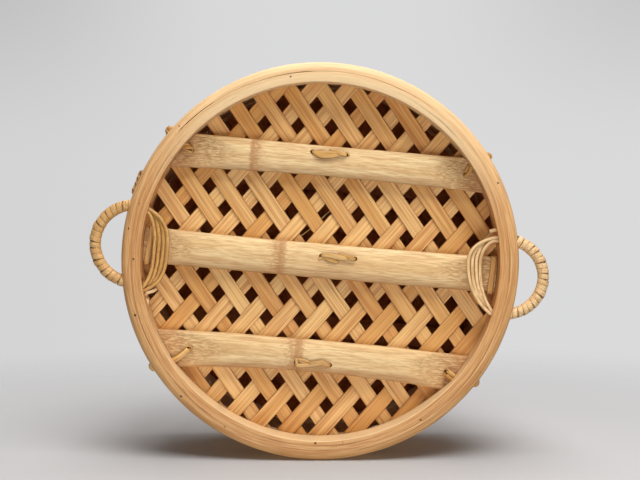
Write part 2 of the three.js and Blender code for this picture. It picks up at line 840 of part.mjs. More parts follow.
// The cane coil of a ring handle: one unbroken strand whose two ends meet inside the binding.
function handleRing(handle) {
  const endRoom = strandSpacing / 2 / (handle.halfSpan - bundleRadius); // turning at each end
  const steps = strandTurns * strandSteps;
  const total = 2 * Math.PI * strandTurns - 2 * endRoom;
  const axis = new THREE.Vector3(0, 0, 1);
  const middles = [];
  const outlines = [];
  for (let step = 0; step <= steps; step += 1) {
    const { point, outward } = strandPoint(handle, endRoom + (total * step) / steps);
    middles.push(point);
    outlines.push(
      Array.from({ length: strandSides }, (_, corner) => {
        const around = (2 * Math.PI * corner) / strandSides;
        return point
          .clone()
          .addScaledVector(outward, (strandDiameter / 2) * Math.cos(around))
          .addScaledVector(axis, (strandDiameter / 2) * Math.sin(around));
      }),
    );
  }
  return { geometry: loft(outlines), gap: leastGap(middles, strandSteps / 2) - strandDiameter };
}

// The least distance between points that lie more than a number of steps apart along a path.
function leastGap(points, stepsApart) {
  let least = Infinity;
  points.forEach((point, index) => {
    points.slice(index + stepsApart + 1).forEach((other) => {
      least = Math.min(least, point.distanceTo(other));
    });
  });
  return least;
}

// The cane strip wound round the bound half, from one end of it to the other. The base is how far
// from the ring's centre the bound half leaves the wall.
function handleWrap(handle, base) {
  const innerRadius = (bundleRadius + seatGap) / Math.cos(Math.PI / wrapSteps);
  const outerRadius = innerRadius + wrapThickness;
  const middleReach = (handle.outerReach + handle.halfSpan) / 2;
  const pitchTurn = wrapPitch / middleReach;
  const halfStrip = (pitchTurn * wrapFill) / 2;
  const lastTurn = Math.acos((base + seatGap) / (handle.outerReach - outerRadius)) - halfStrip;
  const turns = Math.floor((2 * lastTurn) / pitchTurn);
  const steps = turns * wrapSteps;
  const axis = new THREE.Vector3(0, 0, 1);
  const at = (angle, around, radius) => {
    const { centre, outward } = ringLine(handle, angle);
    return centre
      .clone()
      .addScaledVector(outward, radius * Math.cos(around))
      .addScaledVector(axis, radius * Math.sin(around));
  };
  const outlines = [];
  for (let step = 0; step <= steps; step += 1) {
    const around = (2 * Math.PI * step) / wrapSteps;
    const angle = (step / wrapSteps - turns / 2) * pitchTurn;
    outlines.push([
      at(angle - halfStrip, around, innerRadius),
      at(angle + halfStrip, around, innerRadius),
      at(angle + halfStrip, around, outerRadius),
      at(angle - halfStrip, around, outerRadius),
    ]);
  }
  const facing = outlines.slice(wrapSteps).map((outline, step) => {
    const before = outlines[step];
    return Math.min(outline[0].distanceTo(before[1]), outline[3].distanceTo(before[2]));
  });
  return { geometry: loft(outlines), gap: Math.min(...facing) };
}

// How far the ring's middle line lies inside its widest place at a distance from its centre, and
// how much wider the bundle is there for crossing at a slant.
function ringBend(handle, x) {
  const reach = x >= 0 ? handle.outerReach : handle.innerReach;
  const share = Math.sqrt(1 - (x / reach) ** 2);
  const slope = (handle.halfSpan * x) / (reach ** 2 * share);
  return { inwards: handle.halfSpan * (1 - share), leaning: Math.hypot(1, slope) };
}

// Where a handle's hole lies across the ring, and the radius that clears its bent bundle.
function handleHole(handle, innerFace, outerFace) {
  const bends = [ringBend(handle, innerFace), ringBend(handle, outerFace)];
  const inwards = Math.max(...bends.map((bend) => bend.inwards));
  const leaning = Math.max(...bends.map((bend) => bend.leaning));
  return {
    y: handle.halfSpan - inwards / 2,
    radius: inwards / 2 + bundleRadius * leaning + seatGap,
  };
}

// Distance along X from the handle's centre to a hoop's face beside the hole.
const faceBesideHole = (radius) =>
  Math.sqrt(radius ** 2 - sideHandle.halfSpan ** 2) - handleCentreRadius;

const sideHole = handleHole(
  sideHandle,
  faceBesideHole(liningInnerRadius),
  faceBesideHole(rimRadius),
);

function addSideHandle(name, turn) {
  const ring = handleRing(sideHandle);
  const wrap = handleWrap(sideHandle, rimRadius - handleCentreRadius);
  const frame = new THREE.Group();
  frame.rotation.z = turn;
  frame.position.copy(onCircle(handleCentreRadius, turn, handleHeight));
  part.add(frame);
  addPiece(`handle_ring_${name}`, ring.geometry, "cane", frame);
  addPiece(`handle_wrap_${name}`, wrap.geometry, "wrap", frame);
  console.log(`least gap in handle_ring_${name}: ${ring.gap.toFixed(2)} mm`);
  console.log(`least gap in handle_wrap_${name}: ${wrap.gap.toFixed(2)} mm`);
}

addSideHandle("right", 0);
addSideHandle("left", Math.PI);

// Cutters for the four handle holes through the wall.
function handleHoleCutters() {
  const cutters = [];
  for (const side of [-1, 1]) {
    for (const y of [-sideHole.y, sideHole.y]) {
      const from = new THREE.Vector3((side * rimRadius) / 2, y, handleHeight);
      const to = new THREE.Vector3(side * rimDiameter, y, handleHeight);
      cutters.push(drill(from, to, sideHole.radius));
    }
  }
  return cutters;
}

// Cutters for the end ties' holes through the wall.
function endTieHoleCutters() {
  return endTies.map((tie) => {
    const hole = endTieHole(tie);
    const outside = endTieOutside(tie);
    const direction = outside.clone().sub(hole).normalize();
    return drill(hole, outside.clone().addScaledVector(direction, rimRadius), tieHoleRadius);
  });
}

// Cutters for the stitch's two holes through the foot band.
function stitchHoleCutters() {
  return stitchAngles.map((angle) =>
    drill(
      onCircle(wallInnerRadius, angle, stitchHeight),
      onCircle(rimDiameter, angle, stitchHeight),
      tieHoleRadius,
    ),
  );
}

// Hoops of the basket

const wallHoles = [...handleHoleCutters(), ...endTieHoleCutters()];

function footBand() {
  const inner = wallOuterRadius + seatGap;
  const diagonal = footBandRound * (1 - Math.SQRT1_2);
  const profile = [
    [inner, 0],
    [rimRadius - footBandRound, 0],
    [rimRadius - diagonal, diagonal],
    [rimRadius, footBandRound],
    [rimRadius, footBandHeight - bandChamfer],
    [rimRadius - bandChamfer, footBandHeight],
    [inner, footBandHeight],
  ];
  return cut(turned(profile), [...wallHoles, ...stitchHoleCutters()]);
}

function wallHoop() {
  const profile = [
    [wallInnerRadius, 0],
    [wallOuterRadius, 0],
    [wallOuterRadius, basketHeight],
    [wallInnerRadius, basketHeight],
  ];
  return cut(turned(profile), wallHoles);
}

// The ring under the floor, with the slanted joint where its two ends meet.
function footRing() {
  const profile = [
    [liningInnerRadius + liningRound, 0],
    [liningOuterRadius, 0],
    [liningOuterRadius, barTop],
    [liningInnerRadius, barTop],
    [liningInnerRadius, liningRound],
  ];
  const joint = new THREE.BoxGeometry(4 * liningThickness, footRingJointWidth, 4 * barTop)
    .rotateX(radians(footRingJointSlant))
    .translate(liningInnerRadius, 0, barTop / 2)
    .rotateZ(radians(footRingJointAngle));
  return cut(turned(profile), [...wallHoles, joint]);
}

function liningHoop() {
  return turned([
    [liningInnerRadius, liningBottom],
    [liningOuterRadius, liningBottom],
    [liningOuterRadius, liningTop],
    [liningInnerRadius, liningTop],
  ]);
}

// An outer band with chamfered corners, from one height to another.
function outerBand(inner, thickness, bottom, top) {
  return turned([
    [inner, bottom],
    [inner + thickness - bandChamfer, bottom],
    [inner + thickness, bottom + bandChamfer],
    [inner + thickness, top - bandChamfer],
    [inner + thickness - bandChamfer, top],
    [inner, top],
  ]);
}

addPiece("foot_band", footBand(), "hoop");
addPiece("wall_hoop", wallHoop(), "hoop");
addPiece("foot_ring", footRing(), "hoop");
addPiece("lining_hoop", liningHoop(), "hoop");
addPiece(
  "top_band",
  outerBand(
    wallOuterRadius + seatGap,
    topBandThickness,
    basketHeight - topBandHeight,
    basketHeight,
  ),
  "hoop",
);

// Lid

const domeEdgeRadius = domeRingInnerRadius - domeEdgeInset;
const domeBendRadius = (domeEdgeRadius ** 2 + domeRise ** 2) / (2 * domeRise);

// Height of the dome above its brim at a distance from the axis, on a skin laid this far inside the
// cover's top surface.
function domeHeight(radius, inset = 0) {
  const skinRadius = domeBendRadius - inset;
  const centre = domeRise - domeBendRadius;
  return centre + Math.sqrt(skinRadius ** 2 - radius ** 2);
}

// Where a skin laid this far inside the cover's top surface meets its own flat brim.
function domeEdge(inset) {
  const depth = domeBendRadius - domeRise - inset;
  return Math.sqrt((domeBendRadius - inset) ** 2 - depth ** 2);
}

// The profile points of one face of the dome, from the middle out to the brim.
function domeFace(inset) {
  const edge = domeEdge(inset);
  return Array.from({ length: domeSteps + 1 }, (_, step) => {
    const radius = (edge * step) / domeSteps;
    return [radius, coverBrim + domeHeight(radius, inset)];
  });
}

// Height of a skin's facets at a distance from the axis, at their lowest round the circle.
function facetedDomeHeight(radius, inset) {
  return heightAt(domeFace(inset), radius / Math.cos(Math.PI / ringSegments));
}

const lidHandleCentre = coverBrim + domeHeight(lidHandleHalfSpan);
const linerInset = domeSkinThickness + seatGap;
const battenInset = linerInset + domeSkinThickness + seatGap;
const battenBottom = coverBrim + domeHeight(0, battenInset) - battenThickness;

// The lid's handle passes under the middle batten, so its open half is shallow.
const lidHandle = {
  outerReach: lidHandleReach,
  innerReach:
    (lidHandleCentre - battenBottom + seatGap + strandDiameter / 2 + lidHandleSlack) /
    Math.sqrt(1 - (battenWidth / 2 / lidHandleHalfSpan) ** 2),
  halfSpan: lidHandleHalfSpan,
  fansAcross: true,
};

const lidHole = handleHole(
  lidHandle,
  coverBrim + domeHeight(lidHandleHalfSpan + bundleRadius, battenInset) - lidHandleCentre,
  coverBrim + domeHeight(lidHandleHalfSpan - bundleRadius) - lidHandleCentre,
);

// One skin of the dome with its flat brim and the two holes for the handle.
function domeSkin(inset) {
  const top = domeFace(inset);
  const bottom = domeFace(inset + domeSkinThickness);
  const brimTop = top.at(-1)[1];
  const brimBottom = bottom.at(-1)[1];
  const profile = [
    ...bottom,
    [lidFlangeOuterRadius, brimBottom],
    [lidFlangeOuterRadius, brimTop],
    ...top.reverse(),
  ];
  const cutters = [-lidHole.y, lidHole.y].map((y) =>
    drill(new THREE.Vector3(0, y, flangeTop), new THREE.Vector3(0, y, 2 * lidTop), lidHole.radius),
  );
  return cut(turned(profile), cutters);
}

// A split batten bent to lie under the liner, with its ends against the flange.
function lidBatten(y) {
  const reach = lidFlangeInnerRadius - seatGap;
  const edges = [y - battenWidth / 2, y + battenWidth / 2];
  const outlines = Array.from({ length: battenSteps + 1 }, (_, step) => {
    const share = (2 * step) / battenSteps - 1;
    const corners = edges.map((edgeY) => {
      const x = share * Math.sqrt(facetRadius(reach) ** 2 - edgeY ** 2);
      return new THREE.Vector3(x, edgeY, facetedDomeHeight(Math.hypot(x, edgeY), battenInset));
    });
    const down = new THREE.Vector3(0, 0, -battenThickness);
    return [corners[0], corners[1], corners[1].clone().add(down), corners[0].clone().add(down)];
  });
  return loft(outlines);
}

function lidWall() {
  return turned([
    [lidWallInnerRadius, lidBottom],
    [lidWallOuterRadius, lidBottom],
    [lidWallOuterRadius, lidTop],
    [lidWallInnerRadius, lidTop],
  ]);
}

// The inner hoop of the lid, whose lower part drops into the basket and seats on the lining.
function lidFlange() {
  const bottom = liningTop + seatGap;
  return turned([
    [lidFlangeInnerRadius, bottom],
    [lidFlangeOuterRadius - bandChamfer, bottom],
    [lidFlangeOuterRadius, bottom + bandChamfer],
    [lidFlangeOuterRadius, flangeTop],
    [lidFlangeInnerRadius, flangeTop],
  ]);
}

// The narrow hoop that holds the dome's brim down.
function domeRing() {
  return turned([
    [domeRingInnerRadius, domeRingBottom],
    [lidFlangeOuterRadius, domeRingBottom],
    [lidFlangeOuterRadius, lidTop],
    [domeRingInnerRadius, lidTop],
  ]);
}

addPiece("lid_wall_hoop", lidWall(), "hoop");
addPiece("lid_flange_hoop", lidFlange(), "hoop");
addPiece("lid_dome_ring", domeRing(), "hoop");
addPiece(
  "lid_band",
  outerBand(lidBandInnerRadius, lidBandThickness, lidBottom, lidBottom + lidBandHeight),
  "hoop",
);
addPiece("lid_dome_cover", domeSkin(0), "dome");
addPiece("lid_dome_liner", domeSkin(linerInset), "dome");
addPiece("lid_batten_front", lidBatten(battenMargin - lidFlangeInnerRadius), "bar");
addPiece("lid_batten_middle", lidBatten(0), "bar");
addPiece("lid_batten_back", lidBatten(lidFlangeInnerRadius - battenMargin), "bar");

function addLidHandle() {
  const ring = handleRing(lidHandle);
  const wrap = handleWrap(lidHandle, coverBrim + domeHeight(0) - lidHandleCentre);
  const frame = new THREE.Group();
  frame.rotation.y = -Math.PI / 2;
  frame.position.z = lidHandleCentre;
  part.add(frame);
  addPiece("lid_handle_ring", ring.geometry, "cane", frame);
  addPiece("lid_handle_wrap", wrap.geometry, "wrap", frame);
  console.log(`least gap in lid_handle_ring: ${ring.gap.toFixed(2)} mm`);
  console.log(`least gap in lid_handle_wrap: ${wrap.gap.toFixed(2)} mm`);
}

addLidHandle();

export default part;
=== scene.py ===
"""Looks of a lidded bamboo steamer basket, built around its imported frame.

Every length is in metres. The basket's axis is x = y = 0, its foot stands on z = 0, +Y is the
back and +X the right of the basket. The camera looks up at the foot, as if the basket stood on
the edge of its rim.
"""

import logging
import math
from collections.abc import Callable, Iterable, Sequence
from dataclasses import dataclass, field, replace
from enum import Enum

import bmesh
import bpy
import numpy as np
from mathutils import Matrix, Vector


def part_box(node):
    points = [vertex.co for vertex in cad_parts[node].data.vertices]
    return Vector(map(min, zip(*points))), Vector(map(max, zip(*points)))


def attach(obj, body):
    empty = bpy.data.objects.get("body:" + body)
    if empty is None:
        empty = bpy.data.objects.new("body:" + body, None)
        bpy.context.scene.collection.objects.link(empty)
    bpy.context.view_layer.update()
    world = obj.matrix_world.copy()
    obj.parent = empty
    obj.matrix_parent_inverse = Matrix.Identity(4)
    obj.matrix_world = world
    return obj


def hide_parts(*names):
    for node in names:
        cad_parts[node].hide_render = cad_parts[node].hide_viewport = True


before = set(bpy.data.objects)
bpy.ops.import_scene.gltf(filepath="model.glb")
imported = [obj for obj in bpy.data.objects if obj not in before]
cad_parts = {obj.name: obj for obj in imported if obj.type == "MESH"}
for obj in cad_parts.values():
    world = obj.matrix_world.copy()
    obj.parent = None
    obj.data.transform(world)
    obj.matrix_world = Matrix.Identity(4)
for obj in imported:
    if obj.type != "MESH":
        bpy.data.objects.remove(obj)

log = logging.getLogger("steamer")

MM = 0.001
FULL_TURN = 2 * math.pi
QUARTER_TURN = math.pi / 2

Number = int | float
Span = tuple[float, float]
Point = tuple[float, float, float]
Colour = tuple[float, float, float, float]
Mesh = bpy.types.Mesh
Array = np.ndarray


class Slot(Enum):
    """The record's material slots."""

    HOOP = "hoop"
    STRIP = "strip"
    BAR = "bar"
    CANE = "cane"
    WRAP = "wrap"
    DOME = "dome"


class Body(Enum):
    """The frame's bodies."""

    BASKET = "basket"
    LID = "lid"


class Pattern(Enum):
    """The patterns in a finish, each with the shift that sets its noise apart."""

    TONES = 1.3
    FIBRES = 5.1
    LINES = 14.9
    STAINS = 21.7
    PATCHES = 31.3
    DASHES = 44.1
    NICKS = 51.7


def shown(red: int, green: int, blue: int) -> Colour:
    """Turn a colour as a screen shows it, 0 to 255, into a linear one by the sRGB curve.

    Args:
        red: Red as shown.
        green: Green as shown.
        blue: Blue as shown.

    Returns:
        The linear colour with an alpha of 1.
    """
    linear = []
    for level in (red, green, blue):
        share = level / 255
        linear.append(share / 12.92 if share <= 0.04045 else ((share + 0.055) / 1.055) ** 2.4)
    return (*linear, 1.0)


# Node trees


class Signal:
    """A socket of a node tree, on which Python's operators write Math nodes."""

    def __init__(self, writer: "NodeWriter", socket: bpy.types.NodeSocket) -> None:
        """Keep the socket and the writer of its tree."""
        self.writer = writer
        self.socket = socket

    def output(self, name: str) -> "Signal":
        """Return another output of the same node."""
        outputs = self.socket.node.outputs
        return Signal(self.writer, next(s for s in outputs if name in (s.identifier, s.name)))

    def math(self, operation: str, *others: "Signal | Number") -> "Signal":
        """Return the result of a Math node on this signal and others."""
        inputs = dict(enumerate((self, *others)))
        return self.writer.node("ShaderNodeMath", {"operation": operation}, inputs)

    def __add__(self, other: "Signal | Number") -> "Signal":
        """Return the sum."""
        return self.math("ADD", other)

    __radd__ = __add__

    def __sub__(self, other: "Signal | Number") -> "Signal":
        """Return this less the other."""
        return self.math("SUBTRACT", other)

    def __rsub__(self, other: Number) -> "Signal":
        """Return the other less this."""
        return self.writer.node("ShaderNodeMath", {"operation": "SUBTRACT"}, {0: other, 1: self})

    def __mul__(self, other: "Signal | Number") -> "Signal":
        """Return the product."""
        return self.math("MULTIPLY", other)

    __rmul__ = __mul__

    def __truediv__(self, other: "Signal | Number") -> "Signal":
        """Return this divided by the other."""
        return self.math("DIVIDE", other)

    def __neg__(self) -> "Signal":
        """Return this with its sign turned."""
        return self.math("MULTIPLY", -1.0)

    def larger(self, other: "Signal | Number") -> "Signal":
        """Return the larger one of the two."""
        return self.math("MAXIMUM", other)

    def root(self) -> "Signal":
        """Return the square root, or 0 below 0."""
        return self.larger(0.0).math("SQRT")


Value = Signal | Number | str | Sequence[float] | bpy.types.ID


class NodeWriter:
    """Writes the nodes of one tree."""

    def __init__(self, tree: bpy.types.NodeTree) -> None:
        """Keep the tree."""
        self.tree = tree

    def node(
        self, kind: str, settings: dict[str, object] | None = None,
        inputs: dict[str | int, Value] | None = None
    ) -> Signal:
        """Add a node.

        Args:
            kind: The node's type.
            settings: Its properties, set first.
            inputs: The value or link of each socket, by number, identifier or name.

        Returns:
            Its first output that is in use.
        """
        node = self.tree.nodes.new(kind)
        for name, value in (settings or {}).items():
            setattr(node, name, value)
        for key, value in (inputs or {}).items():
            socket = self._socket(node.inputs, key)
            if isinstance(value, Signal):
                self.tree.links.new(value.socket, socket)
            else:
                socket.default_value = value
        return Signal(self, next((s for s in node.outputs if s.enabled), None))

    @staticmethod
    def _socket(sockets: bpy.types.NodeInputs, key: str | int) -> bpy.types.NodeSocket:
        """Find one input of a node.

        Args:
            sockets: The node's inputs.
            key: The input's number, identifier or name.

        Returns:
            The input. Of several with one name, the one in use.
        """
        if isinstance(key, int):
            return sockets[key]
        named = [s for s in sockets if s.identifier == key]
        return (named or [s for s in sockets if s.name == key and s.enabled])[0]

    def vector(self, x: Value = 0.0, y: Value = 0.0, z: Value = 0.0) -> Signal:
        """Return a vector of three values."""
        return self.node("ShaderNodeCombineXYZ", {}, {"X": x, "Y": y, "Z": z})

    def parts(self, vector: Signal) -> tuple[Signal, Signal, Signal]:
        """Return the three values of a vector."""
        first = self.node("ShaderNodeSeparateXYZ", {}, {"Vector": vector})
        return first, first.output("Y"), first.output("Z")

    def vector_math(self, operation: str, first: Value, second: Value) -> Signal:
        """Return the result of a Vector Math node."""
        return self.node("ShaderNodeVectorMath", {"operation": operation}, {0: first, 1: second})

    def ease(self, value: Signal, low: Number, high: Number) -> Signal:
        """Return 0 at low, 1 at high and a smooth change in between."""
        inputs = {"Value": value, "From Min": low, "From Max": high}
        return self.node("ShaderNodeMapRange", {"interpolation_type": "SMOOTHSTEP"}, inputs)

    def mixed(self, share: Signal, first: Value, second: Value) -> Signal:
        """Return the first colour going over to the second as the share goes from 0 to 1."""
        inputs = {"Factor_Float": share, "A_Color": first, "B_Color": second}
        return self.node("ShaderNodeMix", {"data_type": "RGBA"}, inputs)

    def attribute(self, name: str, output: str = "Fac") -> Signal:
        """Return a value that is stored on a piece's points."""
        return self.node("ShaderNodeAttribute", {"attribute_name": name}).output(output)

    def place(self) -> Signal:
        """Return the place of a surface point, in metres."""
        return self.node("ShaderNodeTexCoord").output("Object")


def opened_tree(owner: bpy.types.Material | bpy.types.World) -> NodeWriter:
    """Clear the node tree of a material or world.

    Args:
        owner: What has the tree.

    Returns:
        A writer for the tree.
    """
    owner.use_nodes = True
    owner.node_tree.nodes.clear()
    return NodeWriter(owner.node_tree)


# Finishes


@dataclass(frozen=True)
class Grain:
    """Where a surface point lies in the bamboo, for patterns that follow its fibres."""

    writer: NodeWriter
    length_way: tuple[Signal, Signal]
    across: Signal
    depth: Signal
    tone: Signal
    tone_shift: float = 37.0

    def pattern(self, kind: Pattern, length: float, width: float, detail: float = 1.0) -> Signal:
        """Return noise drawn out along the fibres.

        Args:
            kind: Which pattern of the finish it is for.
            length: Size of a feature along the fibres.
            width: Size of a feature across them.
            detail: How many finer octaves it has.

        Returns:
            Values from 0 to 1.
        """
        (first, second), seed = self.length_way, kind.value
        place = self.writer.vector(first / length + seed, second / length, self.across / width)
        other = self.depth / width + self.tone * self.tone_shift + seed
        inputs = {"Vector": place, "W": other, "Scale": 1.0, "Detail": detail}
        return self.writer.node("ShaderNodeTexNoise", {"noise_dimensions": "4D"}, inputs)


@dataclass(frozen=True)
class Surface:
    """What a finish makes of a surface point: its colour, its height and its roughness."""

    colour: Signal
    height: Signal
    roughness: Signal


@dataclass(frozen=True)
class Bamboo:
    """A finish of split bamboo or cane, with what all of them have in common.

    Tones lie in broad patches, stains in narrower ones, and fibres and dark lines on top. A
    piece's own tone shifts the patches. Tones above 1 turn the piece dark red-brown: painted
    shade for the inside that is seen through the floor's gaps.
    """

    name: str
    pale: Colour
    middle: Colour
    deep: Colour
    line: Colour
    # Dark red-brown painted on the inside pieces as the shade seen through the floor's gaps
    gap_shade_colour: Colour = shown(174, 88, 34)
    tone_length: float = 110 * MM
    tone_width: float = 5 * MM
    tone_span: Span = (0.25, 0.75)
    tone_spread: float = 0.5
    stain_length: float = 60 * MM
    stain_width: float = 2.6 * MM
    stain_span: Span = (0.46, 0.74)
    stain_strength: float = 0.6
    fibre_length: float = 60 * MM
    fibre_width: float = 0.85 * MM
    fibre_span: Span = (0.4, 0.68)
    fibre_contrast: float = 0.6
    line_length: float = 90 * MM
    line_width: float = 0.9 * MM
    line_share: float = 0.3
    line_fade: float = 0.07
    line_strength: float = 0.6
    edge_start: float = 0.86
    # How far the edges darken: painted contact shade, and shade on the side away from the lamps
    edge_shade_strength: float = 0.0
    gap_shade_span: Span = (1.5, 2.0)
    gap_shade_strength: float = 0.9
    roughness: float = 0.55
    fibre_roughness: float = 0.22
    interior_roughness: float = 0.4
    relief: float = 0.3 * MM
    fibre_relief: float = 0.8
    line_relief: float = 0.7
    tone_way: float = 5.0
    coat: float = 0.0
    coat_roughness: float = 0.3
    refraction: float = 1.45

    def material(self) -> bpy.types.Material:
        """Write the finish.

        Returns:
            The material, whose pattern follows the piece's grain.
        """
        material = bpy.data.materials.new(self.name)
        material.use_nodes = True
        tree = material.node_tree
        shader = tree.nodes["Principled BSDF"].inputs
        writer = NodeWriter(tree)
        made = self.surface(self.grain(writer))
        inputs = {"Strength": 1.0, "Distance": self.relief, "Height": made.height}
        bump = writer.node("ShaderNodeBump", {}, inputs)
        tree.links.new(made.colour.socket, shader["Base Color"])
        tree.links.new(made.roughness.socket, shader["Roughness"])
        tree.links.new(bump.socket, shader["Normal"])
        shader["IOR"].default_value = self.refraction
        shader["Coat Weight"].default_value = self.coat
        shader["Coat Roughness"].default_value = self.coat_roughness
        return material

    def grain(self, writer: NodeWriter) -> Grain:
        """Read the grain from the piece's own attributes.

        Args:
            writer: The material's writer.

        Returns:
            The grain, whose second way along sets pieces of different tones apart.
        """
        along, across, depth = writer.parts(writer.attribute("grain", "Vector"))
        tone = writer.attribute("tone")
        return Grain(writer, (along, tone * self.tone_way), across, depth, tone)

    def surface(self, grain: Grain) -> Surface:
        """Lay tones, stains, fibres, lines, painted edge shade and inside shade over each other.

        Args:
            grain: Where a point lies in the bamboo.

        Returns:
            The surface, with its height in shares of the relief.
        """
        writer = grain.writer
        broad = grain.pattern(Pattern.TONES, self.tone_length, self.tone_width)
        fibres = grain.pattern(Pattern.FIBRES, self.fibre_length, self.fibre_width, 2.0)
        streaks = grain.pattern(Pattern.LINES, self.line_length, self.line_width)
        stains = grain.pattern(Pattern.STAINS, self.stain_length, self.stain_width)

        toned = broad + (grain.tone.math("FRACT") - 0.5) * self.tone_spread
        colour = writer.mixed(writer.ease(toned, *self.tone_span), self.pale, self.middle)
        stained = writer.ease(stains, *self.stain_span) * self.stain_strength
        colour = writer.mixed(stained, colour, self.deep)
        shaded = writer.ease(fibres, *self.fibre_span) * self.fibre_contrast
        colour = writer.mixed(shaded, colour, self.deep)
        line_start = 1 - self.line_share
        lines = writer.ease(streaks, line_start, line_start + self.line_fade)
        colour = writer.mixed(lines * self.line_strength, colour, self.line)
        # Painted shade along edges: contact shade of strips and canes, the bars' shaded side
        edge_shade = writer.ease(writer.attribute("edge"), self.edge_start, 1.0) * self.edge_shade_strength
        colour = writer.mixed(edge_shade, colour, self.line)
        # Painted shade: high tones turn the inside pieces dark red-brown, as seen through the gaps
        gap_shade_share = writer.ease(grain.tone, *self.gap_shade_span)
        colour = writer.mixed(gap_shade_share * self.gap_shade_strength, colour, self.gap_shade_colour)
        height = fibres * -self.fibre_relief - lines * self.line_relief
        plain = self.roughness - self.fibre_roughness / 2
        roughness = fibres * self.fibre_roughness + plain + gap_shade_share * self.interior_roughness
        return Surface(colour, height, roughness)


@dataclass(frozen=True)
class BentBamboo(Bamboo):
    """Bamboo bent into hoops about the basket's axis, so that its fibres run round it.

    The front side and the inside of the back face the lamps and are painted paler, as painted
    light and sheen. Small dark nicks lie on the foot's face. Each nick is given by its angle in
    degrees and its radius in millimetres.
    """

    bend_radius: float = 142 * MM
    # Painted light and sheen: the paler colour where the hoops face the lamps
    painted_sheen: Colour = shown(244, 214, 166)
    front_span: Span = (0.2, 0.95)
    face_span: Span = (144 * MM, 141 * MM)
    face_share: float = 0.5
    mouth_share: float = 0.3
    back_span: Span = (0.1, 0.8)
    inside_span: Span = (137.6 * MM, 136.9 * MM)
    inside_share: float = 0.7
    nicked: Colour = shown(56, 30, 12)
    nick_radius: float = 1.2 * MM
    nick_core: float = 0.4
    nick_relief: float = 2.0
    nick_height: float = 0.5 * MM
    nick_grain: Span = (3 * MM, 0.7 * MM)
    nick_span: Span = (0.3, 0.6)
    nicks: tuple[Span, ...] = (
        (-167, 143.6), (-184, 141.6), (-141, 148.5), (131, 147.2), (95.5, 149.3), (86.5, 138.4),
        (29.5, 148.6), (-29, 147.6), (-104, 142.0), (115, 145.0), (52.5, 142.6), (-175, 147.8),
        (159, 146.2)
    )

    def grain(self, writer: NodeWriter) -> Grain:
        """Work the grain out from the place round the axis.

        Args:
            writer: The material's writer.

        Returns:
            The grain, with its depth as the radius.
        """
        x, y, z = writer.parts(writer.place())
        radius = (x * x + y * y).root().larger(1 * MM)
        round_way = (x / radius * self.bend_radius, y / radius * self.bend_radius)
        return Grain(writer, round_way, z, radius, writer.attribute("tone"))

    def surface(self, grain: Grain) -> Surface:
        """Paint light and sheen where the hoops face the lamps, and nick the foot.

        Args:
            grain: Where a point lies in the bamboo.

        Returns:
            The surface.
        """
        writer, plain = grain.writer, super().surface(grain)
        toward_back = grain.length_way[1] / self.bend_radius
        inside = writer.ease(grain.depth, *self.inside_span) * self.inside_share
        face = writer.ease(grain.depth, *self.face_span) * self.mouth_share + self.face_share
        # Painted light and sheen: paler on the front, most at the face, and inside the back; not on
        # inside-shade pieces
        pale = writer.ease(-toward_back, *self.front_span) * face
        pale = pale.larger(writer.ease(toward_back, *self.back_span) * inside)
        clear_of_gap_shade = 1 - writer.ease(grain.tone, *self.gap_shade_span)
        colour = writer.mixed(pale * clear_of_gap_shade, plain.colour, self.painted_sheen)
        marks = self.nick_marks(writer)
        grains = grain.pattern(Pattern.NICKS, *self.nick_grain)
        marks = marks * writer.ease(grains, *self.nick_span)
        colour = writer.mixed(marks, colour, self.nicked)
        return Surface(colour, plain.height - marks * self.nick_relief, plain.roughness)

    def nick_marks(self, writer: NodeWriter) -> Signal:
        """Mark the nicks on the foot's face.

        Args:
            writer: The material's writer.

        Returns:
            1 in a nick and 0 away from it.
        """
        place = writer.place()
        marks: Signal | None = None
        for degrees, radius in self.nicks:
            x, y = math.cos(math.radians(degrees)), math.sin(math.radians(degrees))
            spot = (radius * MM * x, radius * MM * y, self.nick_height)
            off = writer.vector_math("DISTANCE", place, spot).output("Value")
            mark = writer.ease(off, self.nick_radius, self.nick_core * self.nick_radius)
            marks = mark if marks is None else marks.larger(mark)
        return marks


@dataclass(frozen=True)
class SplitBar(Bamboo):
    """The round back of a split culm, with a blushing knot and pithy whittled ends.

    Painted shade darkens its ends by the wall.
    """

    blush: Colour = shown(180, 124, 74)
    blush_span: Span = (0.2, 1.0)
    blush_patching: float = 1.8
    blush_strength: float = 0.75
    pith: Colour = shown(208, 168, 116)
    pith_strength: float = 0.65
    glint_span: Span = (0.5, 0.32)
    glint_strength: float = 0.5
    mark_span: Span = (0.5, 0.66)
    mark_strength: float = 0.6
    marks_on_pith: float = 0.9
    marks_off_pith: float = 0.12
    mark_relief: float = 0.8
    patch_size: Span = (3 * MM, 1 * MM)
    patch_relief: float = 0.6
    dash_size: Span = (5 * MM, 0.8 * MM)
    pith_roughness: float = 0.15

    def surface(self, grain: Grain) -> Surface:
        """Add the knot's blush, painted end shade and the pith's dashes to the bamboo's own surface.

        Args:
            grain: Where a point lies in the bamboo.

        Returns:
            The surface.
        """
        writer, plain = grain.writer, super().surface(grain)
        knot, pith = writer.attribute("knot"), writer.attribute("pith")
        patches = grain.pattern(Pattern.PATCHES, *self.patch_size, 2.0)
        dashes = grain.pattern(Pattern.DASHES, *self.dash_size)
        # The knot value also holds painted shade at the ends, which the blush colour paints
        blush = writer.ease(knot + (patches - 0.5) * self.blush_patching, *self.blush_span)
        colour = writer.mixed(pith * self.pith_strength, plain.colour, self.pith)
        colour = writer.mixed(blush * self.blush_strength, colour, self.blush)
        glints = writer.ease(dashes, *self.glint_span) * pith
        colour = writer.mixed(glints * self.glint_strength, colour, self.pale)
        share = (pith * self.marks_on_pith + self.marks_off_pith).math("MINIMUM", 1.0)
        marks = writer.ease(dashes, *self.mark_span) * share
        colour = writer.mixed(marks * self.mark_strength, colour, self.deep)
        height = plain.height - marks * self.mark_relief + pith * patches * self.patch_relief
        return Surface(colour, height, plain.roughness + pith * self.pith_roughness)


